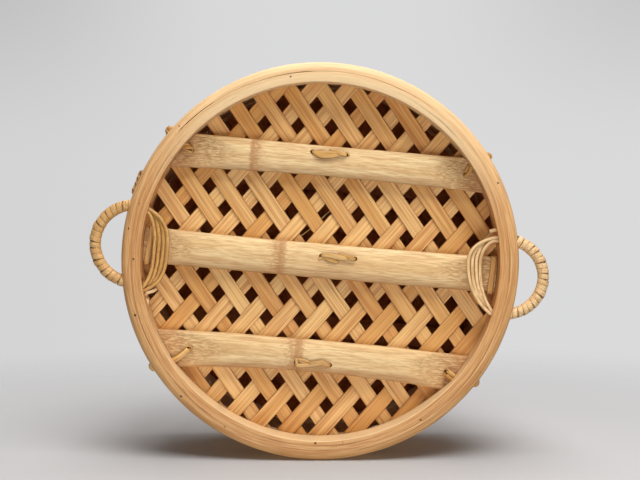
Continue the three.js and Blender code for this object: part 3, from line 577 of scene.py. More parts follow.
class Finishes:
    """The materials of every slot, made once."""

    def __init__(self) -> None:
        """Write the six materials."""
        hoop = BentBamboo(
            name="hoop_bamboo", pale=shown(228, 180, 122), middle=shown(212, 158, 98),
            deep=shown(184, 122, 64), line=shown(140, 84, 40), fibre_length=20 * MM,
            fibre_width=1.0 * MM, fibre_contrast=0.7, line_width=0.95 * MM, line_share=0.32,
            line_strength=0.75, stain_width=1.9 * MM, stain_strength=0.75, relief=0.35 * MM
        )
        strip = Bamboo(
            name="strip_bamboo", pale=shown(238, 192, 124), middle=shown(222, 166, 92),
            deep=shown(188, 116, 54), line=shown(136, 76, 30), tone_spread=1.0, edge_shade_strength=0.5
        )
        bar = SplitBar(
            name="bar_bamboo", pale=shown(246, 218, 164), middle=shown(232, 192, 134),
            deep=shown(196, 144, 88), line=shown(156, 104, 58), fibre_length=11 * MM,
            fibre_width=0.75 * MM, line_strength=0.45, stain_length=34 * MM, stain_width=3.4 * MM,
            stain_strength=0.42, relief=0.45 * MM, edge_start=0.3, edge_shade_strength=0.5
        )
        cane = Bamboo(
            name="tie_cane", pale=shown(230, 186, 114), middle=shown(208, 156, 82),
            deep=shown(172, 112, 50), line=shown(96, 54, 22), tone_width=2 * MM, fibre_length=14 * MM,
            fibre_width=0.6 * MM, edge_start=0.78, edge_shade_strength=0.9, roughness=0.42, coat=0.25
        )
        wrap = replace(
            cane, name="wrap_cane", pale=shown(244, 206, 152), middle=shown(218, 170, 104),
            deep=shown(190, 138, 78), line=shown(136, 92, 44), tone_spread=1.2, edge_start=0.6,
            edge_shade_strength=0.8
        )
        dome = replace(
            strip, name="dome_bamboo", pale=shown(222, 176, 112), middle=shown(206, 154, 92),
            deep=shown(184, 124, 66), tone_width=2 * MM, fibre_width=0.4 * MM
        )
        made = zip(Slot, (hoop, strip, bar, cane, wrap, dome), strict=True)
        self.materials = {slot: finish.material() for slot, finish in made}

    def of(self, slot: Slot) -> bpy.types.Material:
        """Return a slot's material."""
        return self.materials[slot]


# Mesh helpers


def mesh_of(name: str, points: Array, faces: Iterable[Sequence[int]]) -> Mesh:
    """Make a mesh whose faces all point outwards.

    Args:
        name: The mesh's name.
        points: One row per vertex.
        faces: The vertex numbers of each face.

    Returns:
        The mesh.
    """
    mesh = bpy.data.meshes.new(name)
    mesh.from_pydata([tuple(point) for point in points], [], [tuple(face) for face in faces])
    work = bmesh.new()
    work.from_mesh(mesh)
    bmesh.ops.remove_doubles(work, verts=work.verts, dist=0.001 * MM)
    bmesh.ops.recalc_face_normals(work, faces=work.faces)
    work.to_mesh(mesh)
    work.free()
    return mesh


def lofted(name: str, rings: Array, closed: bool) -> Mesh:
    """Make a skin over a row of outlines with equal point counts.

    Args:
        name: The mesh's name.
        rings: The outlines, as outline, point, axis.
        closed: Whether the last outline joins the first. An open row gets flat ends.

    Returns:
        The mesh.
    """
    count, corners, _ = rings.shape
    number = np.arange(count * corners).reshape(count, corners)
    beside = np.roll(number, -1, axis=1)
    quads = np.stack(
        [number, beside, np.roll(beside, -1, axis=0), np.roll(number, -1, axis=0)], axis=-1
    )
    faces = quads[: count if closed else count - 1].reshape(-1, 4).tolist()
    if not closed:
        faces += [number[0].tolist(), number[-1].tolist()]
    return mesh_of(name, rings.reshape(-1, 3), faces)


def rounded_box(
    low: Span, high: Span, bends: Sequence[float], first_angle: int, steps: int = 5
) -> list[Point]:
    """Draw a rectangle with rounded corners, counter-clockwise.

    Args:
        low: Its lower left corner.
        high: Its upper right corner.
        bends: The rounds' radii, from the first corner on.
        first_angle: Where the first round starts, in degrees: 180 for the lower left corner,
            270 for the lower right, 0 for the upper right and 90 for the upper left one.
        steps: The points of each round.

    Returns:
        Each point's two places and the angle that it faces.
    """
    points = []
    for index, bend in enumerate(bends):
        start = (first_angle + 90 * index) % 360
        x = low[0] + bend if start in (90, 180) else high[0] - bend
        y = low[1] + bend if start in (180, 270) else high[1] - bend
        for turn in np.radians(np.linspace(start, start + 90, steps)):
            points.append((x + bend * math.cos(turn), y + bend * math.sin(turn), float(turn)))
    return points


def mesh_points(mesh: Mesh) -> Array:
    """Return the vertices of a mesh as rows."""
    return np.array([vertex.co for vertex in mesh.vertices])


def stamp(mesh: Mesh, name: str, values: Array) -> None:
    """Write a value or a vector onto each vertex of a mesh.

    Args:
        mesh: The mesh.
        name: The attribute's name.
        values: One number or one row of three per vertex.
    """
    is_vector = values.ndim == 2
    attribute = mesh.attributes.new(name, "FLOAT_VECTOR" if is_vector else "FLOAT", "POINT")
    key = "vector" if is_vector else "value"
    attribute.data.foreach_set(key, values.astype(np.float32).ravel())


def linked(name: str, data: bpy.types.ID) -> bpy.types.Object:
    """Put a new object into the scene.

    Args:
        name: Its name.
        data: Its mesh, lamp or camera.

    Returns:
        The object.
    """
    obj = bpy.data.objects.new(name, data)
    bpy.context.scene.collection.objects.link(obj)
    return obj


def bored(mesh: Mesh, cutters: Sequence[Mesh]) -> Mesh:
    """Cut closed meshes out of another.

    Args:
        mesh: What is cut.
        cutters: What is taken away.

    Returns:
        The cut mesh.
    """
    target = linked("cut", mesh)
    tools = [linked("cutter", cutter) for cutter in cutters]
    for tool in tools:
        modifier = target.modifiers.new("cut", "BOOLEAN")
        modifier.operation = "DIFFERENCE"
        modifier.solver = "EXACT"
        modifier.object = tool
    made = evaluated_mesh(target)
    for obj in (target, *tools):
        bpy.data.objects.remove(obj)
    return made


def evaluated_mesh(obj: bpy.types.Object) -> Mesh:
    """Apply an object's modifiers.

    Args:
        obj: The object, which stays as it is.

    Returns:
        A new mesh.
    """
    bpy.context.view_layer.update()
    graph = bpy.context.evaluated_depsgraph_get()
    return bpy.data.meshes.new_from_object(obj.evaluated_get(graph), depsgraph=graph)


def drill(start: Sequence[float], end: Sequence[float], radius: float) -> Mesh:
    """Make a round cutter between two points.

    Args:
        start: One end of its axis.
        end: The other end.
        radius: Its radius.

    Returns:
        The cutter.
    """
    sides = 20
    first, last = Vector(start), Vector(end)
    turn = (last - first).to_track_quat("Z", "Y").to_matrix()
    circle = [
        turn @ Vector((radius * math.cos(a), radius * math.sin(a), 0))
        for a in np.linspace(0, FULL_TURN, sides, endpoint=False)
    ]
    rings = np.array([[tuple(end + spoke) for spoke in circle] for end in (first, last)])
    return lofted("drill", rings, False)


def smoothed(mesh: Mesh, sharp_angle: float) -> None:
    """Shade a mesh smooth, but for its sharp edges.

    Args:
        mesh: The mesh.
        sharp_angle: How far the faces turn at an edge that stays sharp, in degrees.
    """
    work = bmesh.new()
    work.from_mesh(mesh)
    limit = math.radians(sharp_angle)
    for face in work.faces:
        face.smooth = True
    for edge in work.edges:
        edge.smooth = len(edge.link_faces) == 2 and edge.calc_face_angle(0.0) < limit
    work.to_mesh(mesh)
    work.free()


def joined(meshes: Sequence[Mesh]) -> Mesh:
    """Join several meshes with their values.

    Args:
        meshes: The meshes. The first one takes up the others.

    Returns:
        The first mesh.
    """
    if len(meshes) == 1:
        return meshes[0]
    work = bmesh.new()
    for mesh in meshes:
        work.from_mesh(mesh)
    work.to_mesh(meshes[0])
    work.free()
    return meshes[0]


def eased(value: float, low: float, high: float) -> float:
    """Return 0 below low, 1 above high and a smooth rise in between."""
    share = min(max((value - low) / (high - low), 0.0), 1.0)
    return share * share * (3 - 2 * share)


@dataclass
class Dresser:
    """Turns finished meshes into pieces that ride on a body."""

    finishes: Finishes

    def piece(self, name: str, mesh: Mesh, slot: Slot, body: Body, node: str | None = None) -> None:
        """Add a piece.

        Args:
            name: The piece's name.
            mesh: Its mesh, already in place.
            slot: The finish that it gets.
            body: The body that it rides on.
            node: The frame's node that it stands for, if any.
        """
        obj = linked(name, mesh)
        mesh.name = name
        mesh.materials.clear()
        mesh.materials.append(self.finishes.of(slot))
        if node is not None:
            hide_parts(node)
        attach(obj, body.value)
        log.info("%s: %d faces, rides on %s", name, len(mesh.polygons), body.value)


# Geometry trees


class GrowingTree(NodeWriter):
    """A geometry-nodes tree with named inputs, which grows plain meshes."""

    def __init__(self, name: str) -> None:
        """Open the tree with its source geometry and its result.

        Args:
            name: The tree's name.
        """
        super().__init__(bpy.data.node_groups.new(name, "GeometryNodeTree"))
        sockets = self.tree.interface
        sockets.new_socket("Geometry", in_out="OUTPUT", socket_type="NodeSocketGeometry")
        sockets.new_socket("Geometry", in_out="INPUT", socket_type="NodeSocketGeometry")
        sockets.new_socket("Finish", in_out="INPUT", socket_type="NodeSocketMaterial")
        self.source = self.tree.nodes.new("NodeGroupInput")

    def numbers(self, *names: str, kind: str = "NodeSocketFloat") -> list[Signal]:
        """Add a named input for each number.

        Args:
            names: The inputs' names.
            kind: The type of their sockets.

        Returns:
            Their values, in the same order.
        """
        for name in names:
            self.tree.interface.new_socket(name, in_out="INPUT", socket_type=kind)
        return [Signal(self, self.source.outputs[name]) for name in names]

    def here(self) -> Signal:
        """Return the place of each point."""
        return self.node("GeometryNodeInputPosition")

    def read(self, name: str, data_type: str = "FLOAT_VECTOR") -> Signal:
        """Return a stored value of each point."""
        settings = {"data_type": data_type}
        return self.node("GeometryNodeInputNamedAttribute", settings, {"Name": name})

    def store(
        self, geometry: Signal, name: str, value: Value, data_type: str = "FLOAT",
        domain: str = "POINT"
    ) -> Signal:
        """Store a value on each point or instance.

        Args:
            geometry: What has the points.
            name: The value's name.
            value: The value.
            data_type: Whether it is a number or a vector.
            domain: Whether points or instances get it.

        Returns:
            The geometry with the value.
        """
        settings = {"data_type": data_type, "domain": domain}
        inputs = {"Geometry": geometry, "Name": name, "Value": value}
        return self.node("GeometryNodeStoreNamedAttribute", settings, inputs)

    def placed(self, geometry: Signal, position: Signal) -> Signal:
        """Return the geometry with its points at new places."""
        inputs = {"Geometry": geometry, "Position": position}
        return self.node("GeometryNodeSetPosition", {}, inputs)

    def turned(self, angle: Value) -> Signal:
        """Return the place of each point after a turn about the Z axis."""
        inputs = {"Vector": self.here(), "Angle": angle}
        return self.node("ShaderNodeVectorRotate", {"rotation_type": "Z_AXIS"}, inputs)

    def noise(self, place: Signal, size: float, seed: Signal) -> Signal:
        """Make noise.

        Args:
            place: Where it is read.
            size: The size of its features.
            seed: Tells noises apart.

        Returns:
            Values from -0.5 to 0.5.
        """
        scaled = self.node(
            "ShaderNodeVectorMath", {"operation": "SCALE"}, {0: place, "Scale": 1 / size}
        )
        inputs = {"Vector": scaled, "W": seed, "Scale": 1.0, "Detail": 1.0}
        return self.node("ShaderNodeTexNoise", {"noise_dimensions": "4D"}, inputs) - 0.5

    def flat_section(self, width: Signal, thickness: Signal, sides: int, square: Value) -> Signal:
        """Draw a closed outline between an ellipse and a rectangle.

        Args:
            width: Its size along X.
            thickness: Its size along Y.
            sides: Its points.
            square: 0 for an ellipse, towards 1 for a rectangle.

        Returns:
            The curve, with its place stored as "section".
        """
        circle = self.node("GeometryNodeCurvePrimitiveCircle", {}, {"Resolution": sides})
        x, y, _ = self.parts(self.here())
        power = 1.0 - square
        wide = x.math("SIGN") * x.math("ABSOLUTE").math("POWER", power) * width * 0.5
        high = y.math("SIGN") * y.math("ABSOLUTE").math("POWER", power) * thickness * 0.5
        outline = self.placed(circle, self.vector(wide, high))
        return self.store(outline, "section", self.here(), "FLOAT_VECTOR")

    def swept(self, curve: Signal, section: Signal, scale: Value = 1.0) -> Signal:
        """Return a closed skin over a section that is moved along a curve."""
        inputs = {"Curve": curve, "Profile Curve": section, "Scale": scale, "Fill Caps": True}
        return self.node("GeometryNodeCurveToMesh", {}, inputs)

    def straight(self, section: Signal, stations: int) -> Signal:
        """Sweep a section along X from -1 to 1.

        Args:
            section: The section.
            stations: How many times it is set down.

        Returns:
            The closed skin.
        """
        ends = {"Start": (-1, 0, 0), "End": (1, 0, 0)}
        line = self.node("GeometryNodeCurvePrimitiveLine", {}, ends)
        inputs = {"Curve": line, "Count": stations}
        return self.swept(self.node("GeometryNodeResampleCurve", {}, inputs), section)

    def close(self, geometry: Signal) -> None:
        """End the tree: make instances real, shade smooth and give the finish.

        Args:
            geometry: What the tree has made.
        """
        real = self.node("GeometryNodeRealizeInstances", {}, {"Geometry": geometry})
        smooth = self.node("GeometryNodeSetShadeSmooth", {}, {"Geometry": real})
        finish = Signal(self, self.source.outputs["Finish"])
        inputs = {"Geometry": smooth, "Material": finish}
        result = self.node("GeometryNodeSetMaterial", {}, inputs)
        end = self.tree.nodes.new("NodeGroupOutput")
        self.tree.links.new(result.socket, end.inputs["Geometry"])

    def grown(
        self, values: dict[str, Number | bpy.types.Material], source: Mesh | None = None
    ) -> Mesh:
        """Run the tree once.

        Args:
            values: The value of each named input.
            source: The mesh that it starts from, if any.

        Returns:
            A plain mesh.
        """
        obj = linked("growing", source or bpy.data.meshes.new("seed"))
        modifier = obj.modifiers.new("grow", "NODES")
        modifier.node_group = self.tree
        for item in self.tree.interface.items_tree:
            if item.in_out == "INPUT" and item.name in values:
                modifier[item.identifier] = values[item.name]
        mesh = evaluated_mesh(obj)
        bpy.data.objects.remove(obj)
        return mesh


class StripTree(GrowingTree):
    """One flat strip woven over and under the strips that it crosses."""

    STATIONS = 150
    SIDES = 20
    SQUARENESS = 0.72
    WAVER = 0.05
    WAVER_LENGTH = 22 * MM
    CUPPING = 0.03
    WAVER_ACROSS = 3.0
    TONE_SHIFT = 90.0
    FIRST_TURN = 2.5
    SUDDENNESS = 5.0

    def __init__(self) -> None:
        """Write the tree."""
        super().__init__("woven_strip")
        width, thickness, offset, angle = self.numbers("Width", "Thickness", "Offset", "Angle")
        middle, rise, own, side = self.numbers("Middle Height", "Rise", "Own Index", "Side")
        start, step, skew = self.numbers("First Crossing", "Crossing Step", "Skew")
        reach, tone = self.numbers("Trim Radius", "Tone")

        section = self.flat_section(width, thickness, self.SIDES, self.SQUARENESS)
        strip = self.straight(section, self.STATIONS)
        share, across, height = self.parts(self.here())
        edge = across + offset
        trimmed = (reach * reach - edge * edge).root()
        strip = self.placed(strip, self.vector(share * trimmed, across, height))

        strip = self.store(strip, "grain", self.here(), "FLOAT_VECTOR")
        strip = self.store(strip, "tone", tone)
        along, across, height = self.parts(self.here())
        # The edge value paints contact shade along the strip's sides
        strip = self.store(strip, "edge", across.math("ABSOLUTE") * 2.0 / width)

        place = self.vector(along, across * self.WAVER_ACROSS)
        waver = self.noise(place, self.WAVER_LENGTH, tone * self.TONE_SHIFT)
        crossing = (along - across * skew - start) / step
        turn = ((crossing - own) * side - self.FIRST_TURN) * QUARTER_TURN
        level = (turn.math("COSINE") * self.SUDDENNESS).math("TANH") * side * rise
        cupping = across * across / width * self.CUPPING * side
        aside = across * (1 + waver * self.WAVER) + offset
        strip = self.placed(strip, self.vector(along, aside, height + level - cupping))
        raised = self.vector_math("ADD", self.turned(angle), self.vector(0.0, 0.0, middle))
        self.close(self.placed(strip, raised))


class CaneTree(GrowingTree):
    """A flat cane swept along a path, which gives its outward direction at each point."""

    SIDES = 16
    SWAY_LENGTH = 9 * MM
    SWAY_SEEDS = (0.0, 7.0, 19.0)

    def __init__(self) -> None:
        """Write the tree."""
        super().__init__("swept_cane")
        path = Signal(self, self.source.outputs["Geometry"])
        width, thickness, step = self.numbers("Width", "Thickness", "Step")
        wobble, flatness, square = self.numbers("Wobble", "Inner Flatness", "Squareness")
        (seed,) = self.numbers("Seed")

        curve = self.node("GeometryNodeMeshToCurve", {}, {"Mesh": path})
        settings = {"spline_type": "CATMULL_ROM"}
        curve = self.node("GeometryNodeCurveSplineType", settings, {"Curve": curve})
        inputs = {"Curve": curve, "Length": step}
        curve = self.node("GeometryNodeResampleCurve", {"mode": "LENGTH"}, inputs)
        run = self.node("GeometryNodeSplineParameter").output("Length")
        curve = self.store(curve, "run", run)
        here = self.here()
        ways = [self.noise(here, self.SWAY_LENGTH, seed + more) * wobble for more in self.SWAY_SEEDS]
        inputs = {"Geometry": curve, "Offset": self.vector(*ways)}
        curve = self.node("GeometryNodeSetPosition", {}, inputs)
        inputs = {"Curve": curve, "Normal": self.read("outward")}
        curve = self.node("GeometryNodeSetCurveNormal", {"mode": "FREE"}, inputs)

        section = self.flat_section(thickness, width, self.SIDES, square)
        x, y, z = self.parts(self.here())
        inner = x.math("MINIMUM", 0.0) * (1 - flatness) + x.larger(0.0)
        section = self.placed(section, self.vector(inner, y, z))
        cane = self.swept(curve, section, self.read("girth", "FLOAT"))
        x, y, _ = self.parts(self.read("section"))
        grain = self.vector(self.read("run", "FLOAT"), y, x)
        cane = self.store(cane, "grain", grain, "FLOAT_VECTOR")
        # The edge value paints shade along the cane's sides and in the creases between turns
        self.close(self.store(cane, "edge", y.math("ABSOLUTE") * 2.0 / width))


@dataclass
class CanePath:
    """The line that a cane follows.

    It has points, the direction that the cane faces at each, its tone and its girth.
    """

    points: Sequence[Sequence[float]]
    outward: Sequence[float] | Sequence[Sequence[float]] = (0, 0, -1)
    tone: float | Sequence[float] = 0.5
    girth: float | Sequence[float] = 1.0
    cyclic: bool = False

    def mesh(self) -> Mesh:
        """Draw the path.

        Returns:
            A chain of edges that carries the path's values.
        """
        count = len(self.points)
        edges = [(i, i + 1) for i in range(count - 1)]
        if self.cyclic:
            edges.append((count - 1, 0))
        mesh = bpy.data.meshes.new("path")
        mesh.from_pydata([tuple(point) for point in self.points], edges, [])
        stamp(mesh, "outward", np.broadcast_to(np.asarray(self.outward, float), (count, 3)))
        stamp(mesh, "tone", np.broadcast_to(np.asarray(self.tone, float), (count,)))
        stamp(mesh, "girth", np.broadcast_to(np.asarray(self.girth, float), (count,)))
        return mesh


@dataclass(frozen=True)
class Cane:
    """A sort of cane: its section, and how far it strays from its line.

    Flatness is 1 for a flat inner side and 0 for a round one. Squareness is 0 for an oval
    section and goes towards 1 for a square one.
    """

    width: float
    thickness: float
    flatness: float = 0.5
    squareness: float = 0.5
    wobble: float = 0.25 * MM


def round_cane(width: float, thickness: float, wobble: float = 0.25 * MM) -> Cane:
    """Return a cane with a nearly round section."""
    return Cane(width, thickness, flatness=0.2, squareness=0.15, wobble=wobble)


@dataclass
class CaneMaker:
    """Sweeps canes along their paths with one shared tree, and dresses them."""

    dresser: Dresser
    tree: CaneTree = field(default_factory=CaneTree)
    step: float = 0.9 * MM

    def piece(
        self, name: str, paths: Sequence[CanePath], cane: Cane, slot: Slot, body: Body = Body.BASKET,
        node: str | None = None
    ) -> None:
        """Sweep and dress one piece.

        Args:
            name: The piece's name.
            paths: The lines that its canes follow.
            cane: The cane.
            slot: The finish that it gets.
            body: The body that it rides on.
            node: The frame's node that it stands for, if any.
        """
        parts = []
        for index, path in enumerate(paths):
            values = {
                "Finish": self.dresser.finishes.of(slot), "Width": cane.width,
                "Thickness": cane.thickness, "Step": self.step, "Wobble": cane.wobble,
                "Inner Flatness": cane.flatness, "Squareness": cane.squareness,
                "Seed": float(index * 3 + 1)
            }
            parts.append(self.tree.grown(values, path.mesh()))
        self.dresser.piece(name, joined(parts), slot, body, node)


# The woven floor


@dataclass(frozen=True)
class StripSet:
    """Parallel strips of the floor. Margins run from the lining to the outermost strips."""

    name: str
    angle: float
    near_margin: float
    far_margin: float

    @property
    def along(self) -> Array:
        """Direction of the strips."""
        return np.array([math.cos(self.angle), math.sin(self.angle)])

    @property
    def across(self) -> Array:
        """Direction from strip to strip."""
        return np.array([-math.sin(self.angle), math.cos(self.angle)])


@dataclass
class WovenFloor:
    """Twenty-six strips woven two over and two under."""

    dresser: Dresser
    inner_radius: float = 136.6 * MM
    trim_radius: float = 139.7 * MM
    strip_count: int = 13
    strip_width: float = 11.8 * MM
    width_spread: float = 0.03
    strip_thickness: float = 1.2 * MM
    weave_rise: float = 0.8 * MM
    middle_height: float = 26 * MM
    first: StripSet = StripSet("first", math.radians(50.9), 4.9 * MM, 19.8 * MM)
    second: StripSet = StripSet("second", math.radians(126.8), 24.2 * MM, 7.3 * MM)
    seed: int = 11

    def offset(self, strips: StripSet, index: int) -> float:
        """Find a strip's middle line.

        Args:
            strips: The strip's set.
            index: Its place in the set.

        Returns:
            The line's distance from the axis, along the across direction.
        """
        start = self.inner_radius - strips.near_margin
        end = strips.far_margin - self.inner_radius
        return start + (end - start) * index / (self.strip_count - 1)

    def crossing(self, strips: StripSet, index: int, other: StripSet, other_index: int) -> float:
        """Find where the middle lines of two strips cross.

        Args:
            strips: The first strip's set.
            index: Its place in the set.
            other: The second strip's set.
            other_index: Its place in the set.

        Returns:
            The crossing's place along the first strip.
        """
        along_other = self.offset(strips, index) / (strips.across @ other.along)
        along_own = self.offset(other, other_index) / (other.across @ strips.along)
        return (other.along * along_other + strips.along * along_own) @ strips.along

    def build(self) -> None:
        """Weave every strip."""
        tree = StripTree()
        random = np.random.default_rng(self.seed)
        sets = ((self.first, self.second, 1.0), (self.second, self.first, -1.0))
        for strips, other, side in sets:
            for index in range(self.strip_count):
                start, after = (self.crossing(strips, index, other, k) for k in (0, 1))
                spread = random.uniform(-self.width_spread, self.width_spread)
                values = {
                    "Finish": self.dresser.finishes.of(Slot.STRIP),
                    "Width": self.strip_width * (1 + spread), "Thickness": self.strip_thickness,
                    "Offset": self.offset(strips, index), "Angle": strips.angle,
                    "Middle Height": self.middle_height, "Rise": self.weave_rise,
                    "Own Index": float(index), "Side": side, "First Crossing": start,
                    "Crossing Step": after - start,
                    "Skew": (strips.along @ other.along) / (strips.across @ other.along),
                    "Trim Radius": self.trim_radius, "Tone": random.uniform(0, 1)
                }
                name = f"strip_{strips.name}_{index + 1:02d}"
                self.dresser.piece(
                    f"woven_{name}", tree.grown(values), Slot.STRIP, Body.BASKET, f"floor_{name}"
                )


# Hoops


@dataclass(frozen=True)
class Hoop:
    """One hoop: its faces' radii and heights, and how its outer edges are rounded."""

    name: str
    node: str
    body: Body
    radii: Span
    heights: Span
    rounds: Span = (0.12 * MM, 0.6 * MM)
    tone: float = 0.5
    inner_round: float = 0.12 * MM
    longest_run: float = 3 * MM

    def profile(self) -> Array:
        """Draw the section, with points along its long straight runs.

        Returns:
            Rows of radius and height.
        """
        low, high = zip(self.radii, self.heights)
        bends = (self.inner_round, *self.rounds, self.inner_round)
        corners = [point[:2] for point in rounded_box(low, high, bends, first_angle=180)]
        points = []
        for here, after in zip(corners, corners[1:] + corners[:1]):
            pieces = max(1, round(math.dist(here, after) / self.longest_run))
            points.extend(np.linspace(here, after, pieces, endpoint=False))
        return np.array(points)


@dataclass
class HoopMaker:
    """Bends hoops from their profiles, bores them and dresses them.

    The foot's face is crowned: it lies lowest at one radius and rises to both sides.
    """

    dresser: Dresser
    segments: int = 240
    waver: float = 0.12 * MM
    slow_waves: int = 3
    slow_share: float = 0.6
    quick_waves: int = 11
    wave_slant: float = 40.0
    crown_radius: float = 141.5 * MM
    crown_reach: float = 8 * MM
    crown: float = 1.3 * MM
    crown_height: float = 9 * MM
    sharp_angle: float = 35.0

    def bend(
        self, hoop: Hoop, holes: Sequence[Mesh] = (),
        opened: Callable[[Array, Array, Array], Array] | None = None
    ) -> None:
        """Build one hoop.

        Args:
            hoop: Its sizes.
            holes: What is cut out of it.
            opened: How far radii move outwards at an angle, radius and height.
        """
        profile = hoop.profile()
        angles = np.linspace(0, FULL_TURN, self.segments, endpoint=False)[:, None]
        radius = np.broadcast_to(profile[:, 0], (self.segments, len(profile))).copy()
        height = np.broadcast_to(profile[:, 1], radius.shape).copy()
        off_crown = (radius - self.crown_radius) / self.crown_reach
        height += self.crown * off_crown**2 * np.clip(1 - height / self.crown_height, 0, 1)
        phase = len(hoop.name)
        slow = np.sin(self.slow_waves * angles + phase + self.wave_slant * height)
        quick = np.sin(self.quick_waves * angles + 2 * phase)
        radius += self.waver * (self.slow_share * slow + (1 - self.slow_share) * quick)
        if opened is not None:
            radius += opened(angles, radius, height)
        rings = np.stack([radius * np.cos(angles), radius * np.sin(angles), height], axis=-1)
        mesh = lofted(hoop.name, rings, True)
        if holes:
            mesh = bored(mesh, [hole.copy() for hole in holes])
        smoothed(mesh, self.sharp_angle)
        stamp(mesh, "tone", np.full(len(mesh.vertices), hoop.tone))
        self.dresser.piece(hoop.name, mesh, Slot.HOOP, hoop.body, hoop.node)


# Ring handles


@dataclass(frozen=True)
class RingShape:
    """A ring handle's line in its own frame: +X out through the bound half, Z its axis.

    Its outer half is half an ellipse. Its inner half may be squarer and lie aside of it. The
    strands stand in a square bundle in the outer half and fan out in the inner one.
    """

    outer_reach: float
    inner_reach: float
    half_span: float
    fans_across: bool
    inner_half_span: float | None = None
    outer_shift: float = 0.0
    inner_shift: float = 0.0
    squareness: float = 2.0
    lean: float = 0.0
    turns: int = 4
    bound_spacing: float = 2.9 * MM
    fan_spacing: float = 2.9 * MM
    blend: float = 10 * MM
    spread_span: Span = (0.04, 0.25)
    flatten_span: Span = (0.15, 0.4)
    line_step: float = 0.01

    def line(self, angle: float, fan: float = 0.0) -> tuple[Array, Array]:
        """Follow the middle line.

        Args:
            angle: Where on the ring.
            fan: How far out in the fan the strand lies.

        Returns:
            The point, and the direction out of the ring.
        """
        here, after = self.point(angle, fan), self.point(angle + self.line_step, fan)
        way = (after - here) / np.linalg.norm(after - here)
        return here, np.array([way[1], -way[0], 0.0])

    def point(self, angle: float, fan: float) -> Array:
        """Find a point of the ring.

        Args:
            angle: Where on the ring.
            fan: How far out in the fan the strand lies.

        Returns:
            The point.
        """
        x, y = math.cos(angle), math.sin(angle)
        if x >= 0:
            return np.array([self.outer_reach * x, self.half_span * y + self.outer_shift, 0.0])
        power = 2 / self.squareness
        wide = -((-x) ** power) * (self.inner_reach + fan) * (1 + self.lean * y)
        inside = eased(-wide, 0, self.blend)
        span = self.half_span + ((self.inner_half_span or self.half_span) - self.half_span) * inside
        shift = self.outer_shift + (self.inner_shift - self.outer_shift) * inside
        return np.array([wide, math.copysign(abs(y) ** power, y) * span + shift, 0.0])

    def strand(self, turning: float) -> tuple[Array, Array]:
        """Follow the strand from place to place in the bundle and in the fan.

        Args:
            turning: How far it has turned, over all turns.

        Returns:
            Its middle and its outward direction.
        """
        turn = round(turning / FULL_TURN)
        in_turn = turning - FULL_TURN * turn
        if abs(in_turn) < QUARTER_TURN:
            place = turn - 1 + eased(in_turn, -QUARTER_TURN, QUARTER_TURN)
        else:
            place = turn - (1 if in_turn < 0 else 0)
        slot_turn = -3 * math.pi / 4 - place * QUARTER_TURN
        slot_radius = self.bound_spacing / math.sqrt(2)
        into_fan = (abs(in_turn) - QUARTER_TURN) / math.pi
        spread = eased(into_fan, *self.spread_span)
        fan_place = (place - (self.turns - 1) / 2) * self.fan_spacing * spread
        sideways = slot_radius * math.cos(slot_turn) * (1 - spread)
        flatten = eased(into_fan, *self.flatten_span)
        standing = slot_radius * math.sin(slot_turn) * (1 - flatten)
        axis = np.array([0.0, 0.0, 1.0])
        if self.fans_across:
            centre, outward = self.line(in_turn)
            return centre + axis * (sideways + fan_place) + outward * standing, outward
        centre, outward = self.line(in_turn, fan_place)
        return centre + outward * sideways + axis * standing, -axis


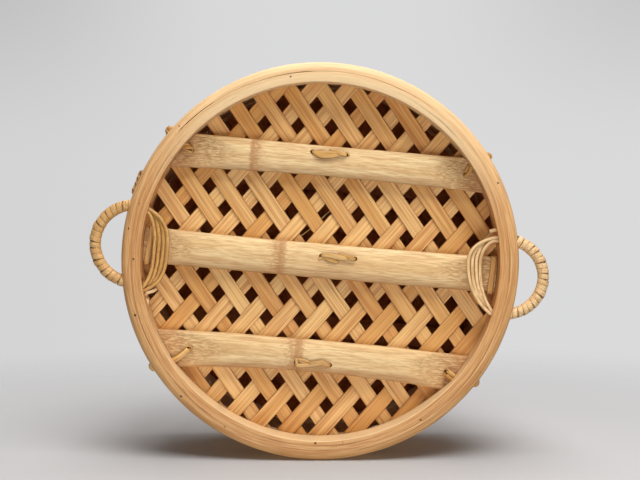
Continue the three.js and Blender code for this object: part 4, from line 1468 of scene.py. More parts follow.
@dataclass
class RingHandle:
    """A coil of cane through two holes, bound with flat cane outside."""

    maker: CaneMaker
    name: str
    body: Body
    shape: RingShape
    place: Matrix
    base: float
    nodes: tuple[str, str]
    wrap_pitch: float = 4.1 * MM
    wrap: Cane = Cane(4.15 * MM, 1.4 * MM, flatness=0.9, squareness=0.45, wobble=0.1 * MM)
    cane: Cane = Cane(2.8 * MM, 2.5 * MM, flatness=0.1, squareness=0.15)
    into_hole: float = 2.5 * MM
    tones: Span = (0.0, 1.0)
    ring_slot: Slot = Slot.CANE
    bundle_radius: float = 3.25 * MM
    wrap_room: float = 0.4 * MM
    wrap_lean: float = 0.14
    wrap_swell: float = 0.3 * MM
    wrap_steps: int = 16
    ring_steps: int = 44
    end_room: float = 0.06
    tone_waves: float = 9.0
    tone_depth: float = 0.35
    seed: int = 3

    def build(self) -> None:
        """Wind the ring and its binding."""
        self.wind_ring()
        self.wind_binding()

    def wind_ring(self) -> None:
        """Wind the coil: one strand whose ends meet inside the binding."""
        steps = self.ring_steps * self.shape.turns
        whole = FULL_TURN * self.shape.turns
        turnings = np.linspace(self.end_room, whole - self.end_room, steps)
        points, facing = zip(*(self.shape.strand(float(turning)) for turning in turnings))
        low, high = self.tones
        waves = np.sin(np.linspace(0, self.tone_waves, steps) + self.seed)
        tones = (low + high) / 2 + (high - low) * self.tone_depth * waves
        path = self.in_place(points, facing, tones)
        name = f"ring_cane_{self.name}"
        self.maker.piece(name, [path], self.cane, self.ring_slot, self.body, self.nodes[0])

    def wind_binding(self) -> None:
        """Wind the flat cane round the bound half, turn beside turn, from wall to wall."""
        random = np.random.default_rng(self.seed)
        radius = self.bundle_radius + self.wrap_room
        middle_reach = (self.shape.outer_reach + self.shape.half_span) / 2
        pitch_turn = self.wrap_pitch / middle_reach
        last_turn = math.acos((self.base - self.into_hole) / self.shape.outer_reach)
        turns = math.ceil(2 * last_turn / pitch_turn)
        knots = range(turns + 2)
        tones = random.uniform(*self.tones, len(knots))
        leans = random.uniform(-self.wrap_lean, self.wrap_lean, len(knots))
        swells = random.uniform(-self.wrap_swell, self.wrap_swell, len(knots))
        points, facing, tone = [], [], []
        for turn in np.arange(turns * self.wrap_steps + 1) / self.wrap_steps:
            around = FULL_TURN * turn
            lean = np.interp(turn, knots, leans) * math.sin(around)
            centre, outward = self.shape.line((turn - turns / 2 + lean) * pitch_turn)
            spoke = outward * math.cos(around) + np.array([0, 0, math.sin(around)])
            points.append(centre + spoke * (radius + np.interp(turn, knots, swells)))
            facing.append(spoke)
            tone.append(np.interp(turn, knots, tones))
        path = self.in_place(points, facing, tone)
        name = f"ring_binding_{self.name}"
        self.maker.piece(name, [path], self.wrap, Slot.WRAP, self.body, self.nodes[1])

    def in_place(
        self, points: Sequence[Array], facing: Sequence[Array], tone: Sequence[float]
    ) -> CanePath:
        """Move a path from the ring's own frame to its place.

        Args:
            points: The path's points.
            facing: The direction that the cane faces at each.
            tone: Its tone at each.

        Returns:
            The path in its place.
        """
        turn = np.array(self.place.to_3x3()).T
        shift = np.array(self.place.translation)
        return CanePath(np.array(points) @ turn + shift, np.array(facing) @ turn, tone)


@dataclass(frozen=True)
class SideHandle:
    """What is one side handle's own: its turn about the basket's axis, its line, its binding."""

    name: str
    turn: float
    shape: RingShape
    wrap_pitch: float
    tones: Span
    ring_slot: Slot


@dataclass
class SideHandles:
    """The two ring handles, one on each side of the basket."""

    maker: CaneMaker
    rim_radius: float = 151.5 * MM
    centre_radius: float = 142.5 * MM
    height: float = 8 * MM
    hole_radius: float = 4.8 * MM
    hole_inset: float = 0.4 * MM
    hole_reach: Span = (80 * MM, 300 * MM)
    wrap_overlap: float = 0.1 * MM
    wrap_thickness: float = 1.7 * MM
    into_hole: float = 4 * MM
    handles: tuple[SideHandle, ...] = (
        SideHandle(
            name="right", turn=0.0,
            shape=RingShape(
                outer_reach=28.6 * MM, inner_reach=24 * MM, half_span=28.4 * MM, fans_across=False,
                inner_half_span=30 * MM, outer_shift=-0.8 * MM, squareness=2.3, lean=-0.3
            ),
            wrap_pitch=4.3 * MM, tones=(0.0, 0.35), ring_slot=Slot.WRAP
        ),
        SideHandle(
            name="left", turn=math.pi,
            shape=RingShape(
                outer_reach=29.8 * MM, inner_reach=20.6 * MM, half_span=29.6 * MM, fans_across=False,
                inner_half_span=31.5 * MM, outer_shift=1.4 * MM, inner_shift=-2.6 * MM, squareness=2.6,
                fan_spacing=3.3 * MM
            ),
            wrap_pitch=4.6 * MM, tones=(0.4, 1.0), ring_slot=Slot.CANE
        )
    )

    def holes(self) -> list[Mesh]:
        """Make the cutters of the four holes through the hoops.

        Returns:
            The cutters.
        """
        cutters = []
        for handle in self.handles:
            way = Matrix.Rotation(handle.turn, 4, "Z")
            for side in (-1, 1):
                aside = side * (handle.shape.half_span - self.hole_inset) + handle.shape.outer_shift
                ends = [way @ Vector((reach, aside, self.height)) for reach in self.hole_reach]
                cutters.append(drill(*ends, self.hole_radius))
        return cutters

    def build(self) -> None:
        """Wind both handles."""
        out = Matrix.Translation((self.centre_radius, 0, self.height))
        for handle in self.handles:
            RingHandle(
                maker=self.maker, name=handle.name, body=Body.BASKET, shape=handle.shape,
                place=Matrix.Rotation(handle.turn, 4, "Z") @ out,
                base=self.rim_radius - self.centre_radius,
                nodes=(f"handle_ring_{handle.name}", f"handle_wrap_{handle.name}"),
                wrap_pitch=handle.wrap_pitch,
                wrap=replace(
                    RingHandle.wrap, width=handle.wrap_pitch + self.wrap_overlap,
                    thickness=self.wrap_thickness
                ),
                into_hole=self.into_hole, tones=handle.tones, ring_slot=handle.ring_slot
            ).build()


# Crossbars


@dataclass(frozen=True)
class BarShape:
    """One split-culm crossbar. Its middle line bows, and it widens towards its ends.

    The knot's blush fades over a length, which is negative where it fades towards the left. A
    slope is the length over which an end is shaved.
    """

    name: str
    y: float
    width: float
    end_width: float
    bow: float
    knot: float
    blush_length: float
    left_slope: float
    right_slope: float
    tone: float


@dataclass
class Crossbars:
    """The three bars under the floor, whittled at their ends and drilled for their ties."""

    dresser: Dresser
    reach: float = 136.3 * MM
    bottom: float = 13.8 * MM
    top: float = 24.3 * MM
    culm_radius: float = 30 * MM
    culm_wall: float = 8 * MM
    knot_rise: float = 0.5 * MM
    knot_width: float = 1.1 * MM
    groove_offset: float = 2.4 * MM
    groove_width: float = 0.9 * MM
    groove_depth: float = 0.25 * MM
    skin_points: int = 31
    edge: tuple[Span, ...] = ((1.0, 0.3), (1.0, 0.6), (1.0, 0.88), (0.985, 1.0))
    hollow_share: float = 0.84
    hollow_points: int = 13
    side_waver: float = 0.35 * MM
    side_turns: int = 9
    dent_depth: float = 0.25 * MM
    dents_along: int = 25
    dents_across: int = 7
    whittle_margin: float = 0.01 * MM
    whittle_depth: float = 3 * MM
    whittle_flat: float = 18 * MM
    whittle_soft: float = 0.25 * MM
    edge_start: float = 0.9
    edge_round: float = 1.3 * MM
    sharp_angle: float = 50.0
    tie_hole_radius: float = 1.8 * MM
    tie_hole_top: float = 50 * MM
    pith_fade: float = 1.5 * MM
    pith_margin: float = 0.2
    skin_depth: float = 4.5 * MM
    skin_fade: float = 2 * MM
    widest: float = 20 * MM
    blush_onset: float = 4.0
    blush_end: float = 1.05
    blush_falloff: float = 1.5
    # Painted shade towards the ends by the wall, where the rim shades the bar
    painted_end_shade: float = 26 * MM
    painted_end_shade_strength: float = 0.9
    stations: int = 200
    shapes: tuple[BarShape, ...] = (
        BarShape(
            name="front", y=-77.0 * MM, width=23.5 * MM, end_width=26.5 * MM, bow=1 * MM,
            knot=-57.8 * MM, blush_length=14 * MM, left_slope=42 * MM, right_slope=34 * MM, tone=0.35
        ),
        BarShape(
            name="middle", y=0.0, width=26 * MM, end_width=27.8 * MM, bow=-1 * MM, knot=-30 * MM,
            blush_length=-17 * MM, left_slope=40 * MM, right_slope=49 * MM, tone=0.6
        ),
        BarShape(
            name="back", y=73.9 * MM, width=24.5 * MM, end_width=27.2 * MM, bow=3.6 * MM,
            knot=-10.6 * MM, blush_length=-20 * MM, left_slope=52 * MM, right_slope=36 * MM, tone=0.45
        )
    )

    def build(self) -> None:
        """Build every bar."""
        for shape in self.shapes:
            self.build_bar(shape)

    def half_length(self, shape: BarShape) -> float:
        """Return half a bar's length at its middle line."""
        return math.sqrt(self.reach**2 - (shape.y + shape.bow) ** 2)

    def skin(self, side: Array | float) -> Array:
        """Return the height of the round side at a distance from the middle line."""
        return self.bottom + self.culm_radius - np.sqrt(self.culm_radius**2 - np.square(side))

    def shaved(self, shape: BarShape, x: Array) -> Array:
        """Find how far a bar's ends are shaved.

        Args:
            shape: The bar.
            x: Places along it.

        Returns:
            The height of the shaved face at each place.
        """
        half = self.half_length(shape)
        slope = np.where(x < 0, shape.left_slope, shape.right_slope)
        into = np.clip((np.abs(x) - (half - slope)) / (slope - self.whittle_flat), 0, 1)
        return self.bottom + self.whittle_depth * into - self.whittle_margin

    def outline(self) -> Array:
        """Draw the section.

        Returns:
            Rows of a share of the half width, and a share of the way from the skin to the top.
        """
        turns = np.linspace(-QUARTER_TURN, QUARTER_TURN, self.skin_points)
        shares = np.linspace(self.hollow_share, -self.hollow_share, self.hollow_points)
        other_edge = [(-share, level) for share, level in reversed(self.edge)]
        skin, hollow = [(math.sin(turn), 0.0) for turn in turns], [(share, 1.0) for share in shares]
        return np.array([*skin, *self.edge, *hollow, *other_edge])

    def build_bar(self, shape: BarShape) -> None:
        """Build one bar.

        Args:
            shape: Its line, its knot and its ends.
        """
        outline = self.outline()
        share = np.linspace(-1, 1, self.stations)[:, None]
        bend = share**2
        random = np.random.default_rng(len(shape.name))
        half_width = (shape.width + (shape.end_width - shape.width) * bend) / 2
        half_width = half_width + self.slow_noise(random, self.side_turns)[:, None] * self.side_waver
        side = outline[:, 0] * half_width
        y = shape.y + shape.bow * bend + side
        x = share * np.sqrt(self.reach**2 - y**2)

        inner_radius = self.culm_radius - self.culm_wall
        hollow = np.sqrt(np.maximum(inner_radius**2 - side**2, 0))
        upper = np.minimum(self.top, self.bottom + self.culm_radius - hollow)
        lower = self.worn_skin(shape, x, side, random)
        level = outline[:, 1]
        z = lower * (1 - level) + upper * level
        mesh = lofted(f"bar_{shape.name}", np.stack([x, y, z], axis=-1), False)
        mesh = bored(mesh, self.tie_holes(shape))
        smoothed(mesh, self.sharp_angle)
        self.stamp_bar(mesh, shape)
        self.dresser.piece(
            f"split_bar_{shape.name}", mesh, Slot.BAR, Body.BASKET, f"crossbar_{shape.name}"
        )

    def worn_skin(self, shape: BarShape, x: Array, side: Array, random: np.random.Generator) -> Array:
        """Shape a bar's lower side: worn edges, the knot, dents and shaved ends.

        Args:
            shape: The bar.
            x: Places along it.
            side: Distances from its middle line.
            random: Where its dents come from.

        Returns:
            The height at each place.
        """
        edge_share = np.abs(self.outline()[:, 0])
        worn = np.clip((edge_share - self.edge_start) / (1 - self.edge_start), 0, 1)
        lower = self.skin(side) + self.edge_round * (1 - np.sqrt(1 - worn**2))
        knot = np.exp(-(((x - shape.knot) / self.knot_width) ** 2))
        groove = np.exp(-(((x - shape.knot + self.groove_offset) / self.groove_width) ** 2))
        lower = lower - self.knot_rise * knot + self.groove_depth * groove
        along = self.slow_noise(random, self.dents_along)[:, None]
        across = self.slow_noise(random, self.dents_across, len(edge_share))
        lower = lower + along * across * self.dent_depth
        shaved, soft = self.shaved(shape, x), self.whittle_soft
        softened = soft * np.logaddexp(lower / soft, shaved / soft)
        return np.where(shaved < self.bottom, lower, softened)

    def slow_noise(self, random: np.random.Generator, knots: int, count: int | None = None) -> Array:
        """Draw a slow random line.

        Args:
            random: Where it comes from.
            knots: How many turning points it has.
            count: How many values to return, as many as there are stations if None.

        Returns:
            Values from -1 to 1.
        """
        places = np.linspace(0, knots - 1, count or self.stations)
        return np.interp(places, range(knots), random.uniform(-1, 1, knots))

    def tie_holes(self, shape: BarShape) -> list[Mesh]:
        """Make the cutters of a bar's tie holes.

        Args:
            shape: The bar.

        Returns:
            The cutters.
        """
        points = list(tie_ends(f"crossbar_tie_{shape.name}"))
        for side in ("left", "right"):
            node = f"crossbar_end_tie_{shape.name}_{side}"
            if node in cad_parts:
                points.append(end_tie_hole(node))
        return [
            drill((at.x, at.y, 0), (at.x, at.y, self.tie_hole_top), self.tie_hole_radius)
            for at in points
        ]

    def stamp_bar(self, mesh: Mesh, shape: BarShape) -> None:
        """Write the grain, the blush, the pith and painted shade onto a bar.

        Args:
            mesh: The bar's mesh.
            shape: Its line, its knot and its ends.
        """
        x, y, z = mesh_points(mesh).T
        half = self.half_length(shape)
        side = y - shape.y - shape.bow * (x / half) ** 2
        arc = self.skin(np.clip(side, -self.widest, self.widest))
        pith = np.clip((self.shaved(shape, x) - arc) / self.pith_fade + self.pith_margin, 0, 1)
        inside = np.clip((z - arc - self.skin_depth) / self.skin_fade, 0, 1)
        past = (x - shape.knot) / shape.blush_length
        onset = np.exp(-((past * self.blush_onset) ** 2))
        fading = np.clip(self.blush_end - past, 0, 1) ** self.blush_falloff
        blush = np.where(past < 0, onset, fading)
        # Painted shade near the ends, where the rim shades the bar, kept with the knot's blush
        to_end = np.clip(1 - (half - np.abs(x)) / self.painted_end_shade, 0, 1)
        stamp(mesh, "grain", np.stack([x, side, z], axis=-1))
        stamp(mesh, "tone", np.full(len(x), shape.tone))
        stamp(mesh, "pith", np.maximum(pith, inside))
        stamp(mesh, "knot", np.maximum(blush, self.painted_end_shade_strength * to_end))
        # Painted shade on the bar's side towards +Y, away from the lamps
        stamp(mesh, "edge", np.clip(side * 2 / shape.width, 0, 1))


TIE_THICKNESS = 1.2 * MM


def tie_ends(node: str) -> tuple[Vector, Vector]:
    """Find the two holes of a tie's run over a bar.

    Args:
        node: The tie's node.

    Returns:
        Their places, at the height of the tie's lowest side.
    """
    low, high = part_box(node)
    half = TIE_THICKNESS / 2
    y = (low.y + high.y) / 2
    return Vector((low.x + half, y, low.z)), Vector((high.x - half, y, low.z))


def end_tie_hole(node: str) -> Vector:
    """Find where an end tie passes its bar.

    Args:
        node: The tie's node.

    Returns:
        The middle of the node's highest points.
    """
    points = [vertex.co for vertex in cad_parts[node].data.vertices]
    top = max(point.z for point in points)
    upper = [point for point in points if point.z > top - 1 * MM]
    return sum(upper, Vector()) / len(upper)


# Cane ties


@dataclass(frozen=True)
class TieStrand:
    """One strand over a bar, as shares of the run and millimetres aside of it."""

    asides: tuple[float, float, float, float, float]
    girths: tuple[float, float, float, float, float]
    lift: float
    tone: float
    start: float = 0.0
    end: float = 1.0


@dataclass(frozen=True)
class EndTie:
    """How a bar's end is tied to the wall.

    Strands twist on their way from the bar, which may swerve aside and lie proud of the bar. A
    loop or a cut tip may stand at their start.
    """

    name: str
    tones: tuple[float, ...]
    cane: Cane
    twist_radius: float
    twist_turns: float
    phase: float = 0.0
    swerve: float = 0.0
    lift: float = 0.0
    loop_radius: float = 0.0
    tip_length: float = 0.0

    @property
    def node(self) -> str:
        """The frame's node that it stands for."""
        return f"crossbar_end_tie_{self.name}"

    def course(self, level: float, reach: float) -> tuple[Vector, Vector]:
        """Find the straight way of the tie.

        Args:
            level: Its height.
            reach: The radius at which it leaves the wall.

        Returns:
            Its hole through the bar and its place at the wall.
        """
        points = [vertex.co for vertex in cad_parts[self.node].data.vertices]
        far = max(points, key=lambda point: math.hypot(point.x, point.y))
        hole, lift = end_tie_hole(self.node), Vector((0, 0, level))
        way = Vector((far.x, far.y, 0)).normalized()
        return Vector((hole.x, hole.y, 0)) + lift, way * reach + lift


def twined(
    line: Sequence[Vector], radius: float, turns: float, tones: Sequence[float], phase: float = 0.0
) -> list[CanePath]:
    """Twist strands about a line.

    Args:
        line: Corners of the line, which it rounds off.
        radius: How far the strands' middles lie from it.
        turns: How often they go round it.
        tones: The tone of each strand.
        phase: Where round it the first strand starts, as a share of a turn.

    Returns:
        One path per strand.
    """
    roundings, near, far = 3, 0.75, 0.25
    skew_way = (0.31, 0.22, 0.92)  # No line runs this way, so each has a side to it
    points = np.array([tuple(point) for point in line])
    for _ in range(roundings):
        first, last = points[:1], points[-1:]
        early = points[:-1] * near + points[1:] * far
        late = points[:-1] * far + points[1:] * near
        points = np.concatenate([first, np.stack([early, late], axis=1).reshape(-1, 3), last])
    ways = np.gradient(points, axis=0)
    ways /= np.linalg.norm(ways, axis=1, keepdims=True)
    beside = np.cross(ways, skew_way)
    beside /= np.linalg.norm(beside, axis=1, keepdims=True)
    over = np.cross(beside, ways)
    run = np.concatenate([[0], np.cumsum(np.linalg.norm(np.diff(points, axis=0), axis=1))])
    paths = []
    for index, tone in enumerate(tones):
        start = phase + index / len(tones)
        around = FULL_TURN * (turns * run / run[-1] + start)[:, None]
        spoke = beside * np.cos(around) + over * np.sin(around)
        paths.append(CanePath(points + spoke * radius, spoke, tone))
    return paths


@dataclass
class CaneTies:
    """Every cane that ties bars, floor and hoops together."""

    maker: CaneMaker
    bars: Crossbars
    cane: Cane = Cane(2.6 * MM, TIE_THICKNESS, flatness=0.6)
    stitch_cane: Cane = Cane(2.3 * MM, 1.4 * MM)
    strip: Cane = Cane(4.4 * MM, 0.9 * MM, flatness=0.9, wobble=0.15 * MM)
    above_floor: float = 28.3 * MM
    sink: float = 5 * MM
    bite: float = 0.15 * MM
    sunk_girth: float = 0.8
    end_level: float = 15.7 * MM
    bar_run: float = 4 * MM
    first_swerve: float = 0.4
    level_run: float = 15 * MM
    bight: tuple[Span, ...] = (
        (-8 * MM, 0.0), (-1 * MM, 0.0), (2.0 * MM, 1.2 * MM), (1.8 * MM, -2.2 * MM),
        (-1.2 * MM, -3.0 * MM)
    )
    knot_depth: float = 7 * MM
    loop_sink: float = 0.6 * MM
    loop_sweep: float = math.radians(288)
    loop_points: int = 14
    loop_girth: float = 0.36
    loop_tone: float = 0.8
    tip_depths: Point = (2 * MM, -1 * MM, -2.2 * MM)
    tip_aside: float = 0.5
    tip_back: float = 0.6
    tip_girth: float = 0.8
    tip_tone: float = 0.05
    wall_reach: float = 151.5 * MM
    stitch_level: float = 14 * MM
    stitch_angles: Span = (math.radians(-158), math.radians(-165))
    stitch_inside: float = 144.6 * MM
    stitch_sink: float = 0.5 * MM
    stitch_proud: Point = (2.2 * MM, 0.9 * MM, 1.6 * MM)
    stitch_bulge: float = 0.008
    stitch_twist_radius: float = 0.75 * MM
    stitch_twist_turns: float = 3.5
    stitch_tones: Span = (0.4, 0.75)
    lashing_bend: float = 1.6 * MM
    end_ties: tuple[EndTie, ...] = (
        EndTie(
            name="front_left", tones=(0.2, 0.95, 0.6), cane=round_cane(3.0 * MM, 2.5 * MM),
            twist_radius=1.5 * MM, twist_turns=3.6, lift=0.4 * MM
        ),
        EndTie(
            name="front_right", tones=(0.4, 0.8), cane=round_cane(3.0 * MM, 2.2 * MM),
            twist_radius=1.5 * MM, twist_turns=0.3, swerve=-3.4 * MM, lift=0.4 * MM,
            tip_length=3.2 * MM
        ),
        EndTie(
            name="back_left", tones=(0.0,), cane=round_cane(4.6 * MM, 1.5 * MM), twist_radius=0.2 * MM,
            twist_turns=0.0, phase=0.75, swerve=-3.6 * MM, lift=0.5 * MM, loop_radius=1.5 * MM
        ),
        EndTie(
            name="back_right", tones=(0.2, 0.85), cane=round_cane(3.4 * MM, 2.8 * MM),
            twist_radius=1.7 * MM, twist_turns=0.3, phase=0.9, swerve=3.0 * MM, lift=1.8 * MM
        )
    )
    strands: dict[str, tuple[TieStrand, ...]] = field(
        default_factory=lambda: {
            "front": (
                TieStrand((0, 1.6, 1.3, 0.6, 0), (0.9, 2.5, 2.3, 1.7, 0.9), 0.2, 0.4),
                TieStrand((-2.6, -2.3, -1.7, -0.7, 0.3), (0.5, 0.9, 1.3, 1.5, 1), 1.5, 0.75, 0.5),
                TieStrand((0.2, -1.2, -1.6, -0.6, 0.6), (0.4, 0.6, 0.6, 0.6, 0.4), 0.8, 0.1, 0.97, 1.1)
            ),
            "middle": (
                TieStrand((-0.2, 1.0, 2.2, 3.0, 3.4), (0.8, 1.2, 1.4, 1.3, 0.9), 0.2, 0.5, 0, 0.5),
                TieStrand((-0.9, -1.0, -0.3, 0.2, 0), (0.9, 1.6, 1.8, 1.6, 1.0), 0.8, 0.35),
                TieStrand((-2.8, -2.4, -1.5, -0.5, 0.2), (0.4, 0.8, 1.1, 1.3, 0.9), 1.9, 0.7, 0.5),
                TieStrand((2.2, 2.6, 1.8, 0.8, 0), (0.3, 0.6, 0.7, 0.6, 0.4), 0.4, 0.1, -0.1, 0.06)
            ),
            "back": (
                TieStrand((-2.4, -1.4, 1.0, 1.9, 0.6), (1.0, 1.6, 1.6, 1.2, 0.8), 0.2, 0.6),
                TieStrand((2.0, 1.6, 0.2, -1.8, -0.4), (1.0, 1.5, 1.6, 1.7, 1.0), 1.4, 0.3),
                TieStrand((-0.6, -1.2, -2.0, -1.0, 0.2), (0.6, 1, 1.1, 1.3, 0.8), 2.0, 0.8, 0.35),
                TieStrand((-3.4, -1.4, 0.4, 2.2, 3.8), (0.5, 0.9, 1, 0.9, 0.5), 1.8, 0.1, -0.02, 0.06),
                TieStrand((3.6, 2.8, 2.4, 2.0, 1.0), (0.4, 0.7, 0.8, 0.7, 0.4), 0.5, 0.9, -0.06, 0.2)
            )
        }
    )
    lashings: tuple[tuple[str, tuple[Point, ...]], ...] = (
        ("left", ((-1.0 * MM, -1.2 * MM, 0.7), (4.0 * MM, -0.6 * MM, 0.95))),
        ("right", ((2.0 * MM, -0.5 * MM, 0.8),))
    )

    def build(self) -> None:
        """Tie everything."""
        for shape in self.bars.shapes:
            self.tie_bar(shape)
        for tie in self.end_ties:
            self.tie_end(tie)
        for name, turns in self.lashings:
            self.lash_end(name, turns)
        self.stitch_band()

    def tie_bar(self, shape: BarShape) -> None:
        """Bind one bar to the floor's crossing above it.

        Args:
            shape: The bar.
        """
        node = f"crossbar_tie_{shape.name}"
        start, end = tie_ends(node)
        paths = [self.run_over(shape, strand, start, end) for strand in self.strands[shape.name]]
        sunk = self.bars.bottom + self.sink
        heights = (sunk, self.above_floor, self.above_floor, sunk)
        stops = [(at.x, at.y, z) for at, z in zip((start, start, end, end), heights)]
        paths.append(CanePath(stops, ((-1, 0, 0), (0, 0, 1), (0, 0, 1), (1, 0, 0))))
        self.maker.piece(f"cane_tie_{shape.name}", paths, self.cane, Slot.CANE, node=node)

    def run_over(self, shape: BarShape, strand: TieStrand, start: Vector, end: Vector) -> CanePath:
        """Lay one strand over a bar, and sink its ends.

        Args:
            shape: The bar.
            strand: How the strand strays and swells.
            start: The first hole.
            end: The second hole.

        Returns:
            Its path.
        """
        points = []
        shares = np.linspace(strand.start, strand.end, len(strand.asides))
        for share, aside, swell in zip(shares, strand.asides, strand.girths):
            y = start.y + aside * MM
            lift = strand.lift * MM + self.cane.thickness * swell / 2 - self.bite
            z = float(self.bars.skin(y - shape.y)) - lift
            points.append((start.x + (end.x - start.x) * share, y, z))
        sunk = self.bars.bottom + self.sink
        points = [(*points[0][:2], sunk), *points, (*points[-1][:2], sunk)]
        outward = [(-1, 0, 0)] + [(0, 0, -1)] * len(shares) + [(1, 0, 0)]
        girth = (self.sunk_girth, *strand.girths, self.sunk_girth)
        return CanePath(points, outward, strand.tone, girth)

    def tie_end(self, tie: EndTie) -> None:
        """Tie a bar's end out through the wall: a knot, a twist and a bight outside.

        Args:
            tie: How it is tied.
        """
        start, wall = tie.course(self.end_level, self.wall_reach)
        along = (wall - start).normalized()
        side = Vector((-along.y, along.x, 0))
        up = Vector((0, 0, 1))
        proud = up * (tie.twist_radius + tie.lift)
        line = [
            start + up * self.knot_depth, start - proud,
            start + along * self.bar_run - proud + side * tie.swerve * self.first_swerve,
            wall - along * self.level_run - proud + side * tie.swerve,
            *(wall + along * out + side * aside for out, aside in self.bight)
        ]
        paths = twined(line, tie.twist_radius, tie.twist_turns, tie.tones, tie.phase)
        if tie.twist_turns < 1:
            paths = [replace(path, outward=(0, 0, -1)) for path in paths]
        if tie.loop_radius > 0:
            middle = start - along * tie.loop_radius - up * self.loop_sink
            loop = [
                middle + (along * math.cos(turn) - side * math.sin(turn)) * tie.loop_radius
                for turn in np.linspace(0, self.loop_sweep, self.loop_points)
            ]
            paths.append(CanePath(loop, tone=self.loop_tone, girth=self.loop_girth))
        if tie.tip_length > 0:
            lean = (side * self.tip_aside - along * self.tip_back) * tie.tip_length
            tip = [start + up * depth for depth in self.tip_depths]
            tip[-1] += lean
            paths.append(CanePath(tip, tone=self.tip_tone, girth=self.tip_girth))
        self.maker.piece(f"cane_end_tie_{tie.name}", paths, tie.cane, Slot.CANE, node=tie.node)

    def lash_end(self, name: str, turns: Sequence[Point]) -> None:
        """Wind flat cane round an end of the middle bar.

        Args:
            name: Which end.
            turns: The place along the bar, the slant and the tone of each turn.
        """
        node = f"bar_lashing_{name}"
        low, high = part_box(node)
        skin = self.strip.thickness / 2
        half = (high.y - low.y) / 2 - skin
        corners = ((-half, low.z + skin), (half, high.z - skin))
        bends = (self.lashing_bend,) * 4
        outline = rounded_box(*corners, bends, first_angle=270, steps=4)
        paths = []
        for place, slant, tone in turns:
            middle = (low.x + high.x) / 2 + place
            points = [(middle + slant * y / half, (low.y + high.y) / 2 + y, z) for y, z, _ in outline]
            facing = [(0, math.cos(turn), math.sin(turn)) for _, _, turn in outline]
            paths.append(CanePath(points, facing, tone, cyclic=True))
        self.maker.piece(f"flat_lashing_{name}", paths, self.strip, Slot.CANE, node=node)

    def stitch_band(self) -> None:
        """Stitch through the foot band."""
        first, last = self.stitch_angles
        sunk = self.wall_reach - self.stitch_sink
        early, middle, late = (self.wall_reach + proud for proud in self.stitch_proud)
        stops = (
            (self.stitch_inside, first), (sunk, first), (early, first - self.stitch_bulge),
            (middle, (first + last) / 2), (late, last + self.stitch_bulge), (sunk, last),
            (self.stitch_inside, last)
        )
        line = [
            Vector((radius * math.cos(angle), radius * math.sin(angle), self.stitch_level))
            for radius, angle in stops
        ]
        paths = twined(line, self.stitch_twist_radius, self.stitch_twist_turns, self.stitch_tones)
        self.maker.piece("band_stitch", paths, self.stitch_cane, Slot.CANE, node="foot_band_stitch")


@dataclass(frozen=True)
class LooseEnd:
    """A loose bit of cane or straw, with its points in millimetres."""

    name: str
    points: tuple[Point, ...]
    cane: Cane
    tone: float
    slot: Slot = Slot.WRAP


@dataclass
class LooseEnds:
    """The ends that stick out beside the handles and in the floor's gaps."""

    maker: CaneMaker
    ends: tuple[LooseEnd, ...] = (
        LooseEnd(
            name="cane_curl_left",
            points=((-123, 31.5, 11), (-125.3, 33.4, 8), (-129.6, 35.2, 7), (-130.8, 38, 9)),
            cane=round_cane(3.0 * MM, 1.5 * MM, 0.1 * MM), tone=0.0
        ),
        LooseEnd(
            name="cane_tail_left",
            points=((-133, 38.4, 12), (-129.6, 39.8, 9.5), (-128.4, 42.6, 8.5), (-129, 46.5, 12)),
            cane=round_cane(2.6 * MM, 1.4 * MM, 0.1 * MM), tone=0.0
        ),
        LooseEnd(
            name="cane_stub_right", points=((137, -38.5, 10), (132, -36.2, 8.4), (127, -34.2, 8)),
            cane=round_cane(3.4 * MM, 2.8 * MM, 0.1 * MM), tone=0.0
        ),
        LooseEnd(
            name="stray_straw_first",
            points=((-2.3, -31.5, 28.2), (2.2, -36.6, 28.4), (6.9, -41.4, 28.2)),
            cane=round_cane(0.45 * MM, 0.4 * MM, 0.1 * MM), tone=0.1, slot=Slot.STRIP
        ),
        LooseEnd(
            name="stray_straw_second",
            points=((-16.7, -17.6, 28.2), (-11.6, -21.8, 28.4), (-6.9, -26.2, 28.2)),
            cane=round_cane(0.45 * MM, 0.4 * MM, 0.1 * MM), tone=0.2, slot=Slot.STRIP
        )
    )

    def build(self) -> None:
        """Lay every loose end."""
        for end in self.ends:
            path = CanePath(np.array(end.points) * MM, tone=end.tone)
            self.maker.piece(end.name, [path], end.cane, end.slot)


# Hoops of the basket and of the lid


@dataclass(frozen=True)
class Swell:
    """A smooth swelling of a seam round one angle of the basket."""

    height: float
    middle: float
    half_width: float

    def at(self, angles: Array) -> Array:
        """Return its height at angles."""
        off = np.angle(np.exp(1j * (angles - math.radians(self.middle))))
        return self.height * np.exp(-((off / math.radians(self.half_width)) ** 2))


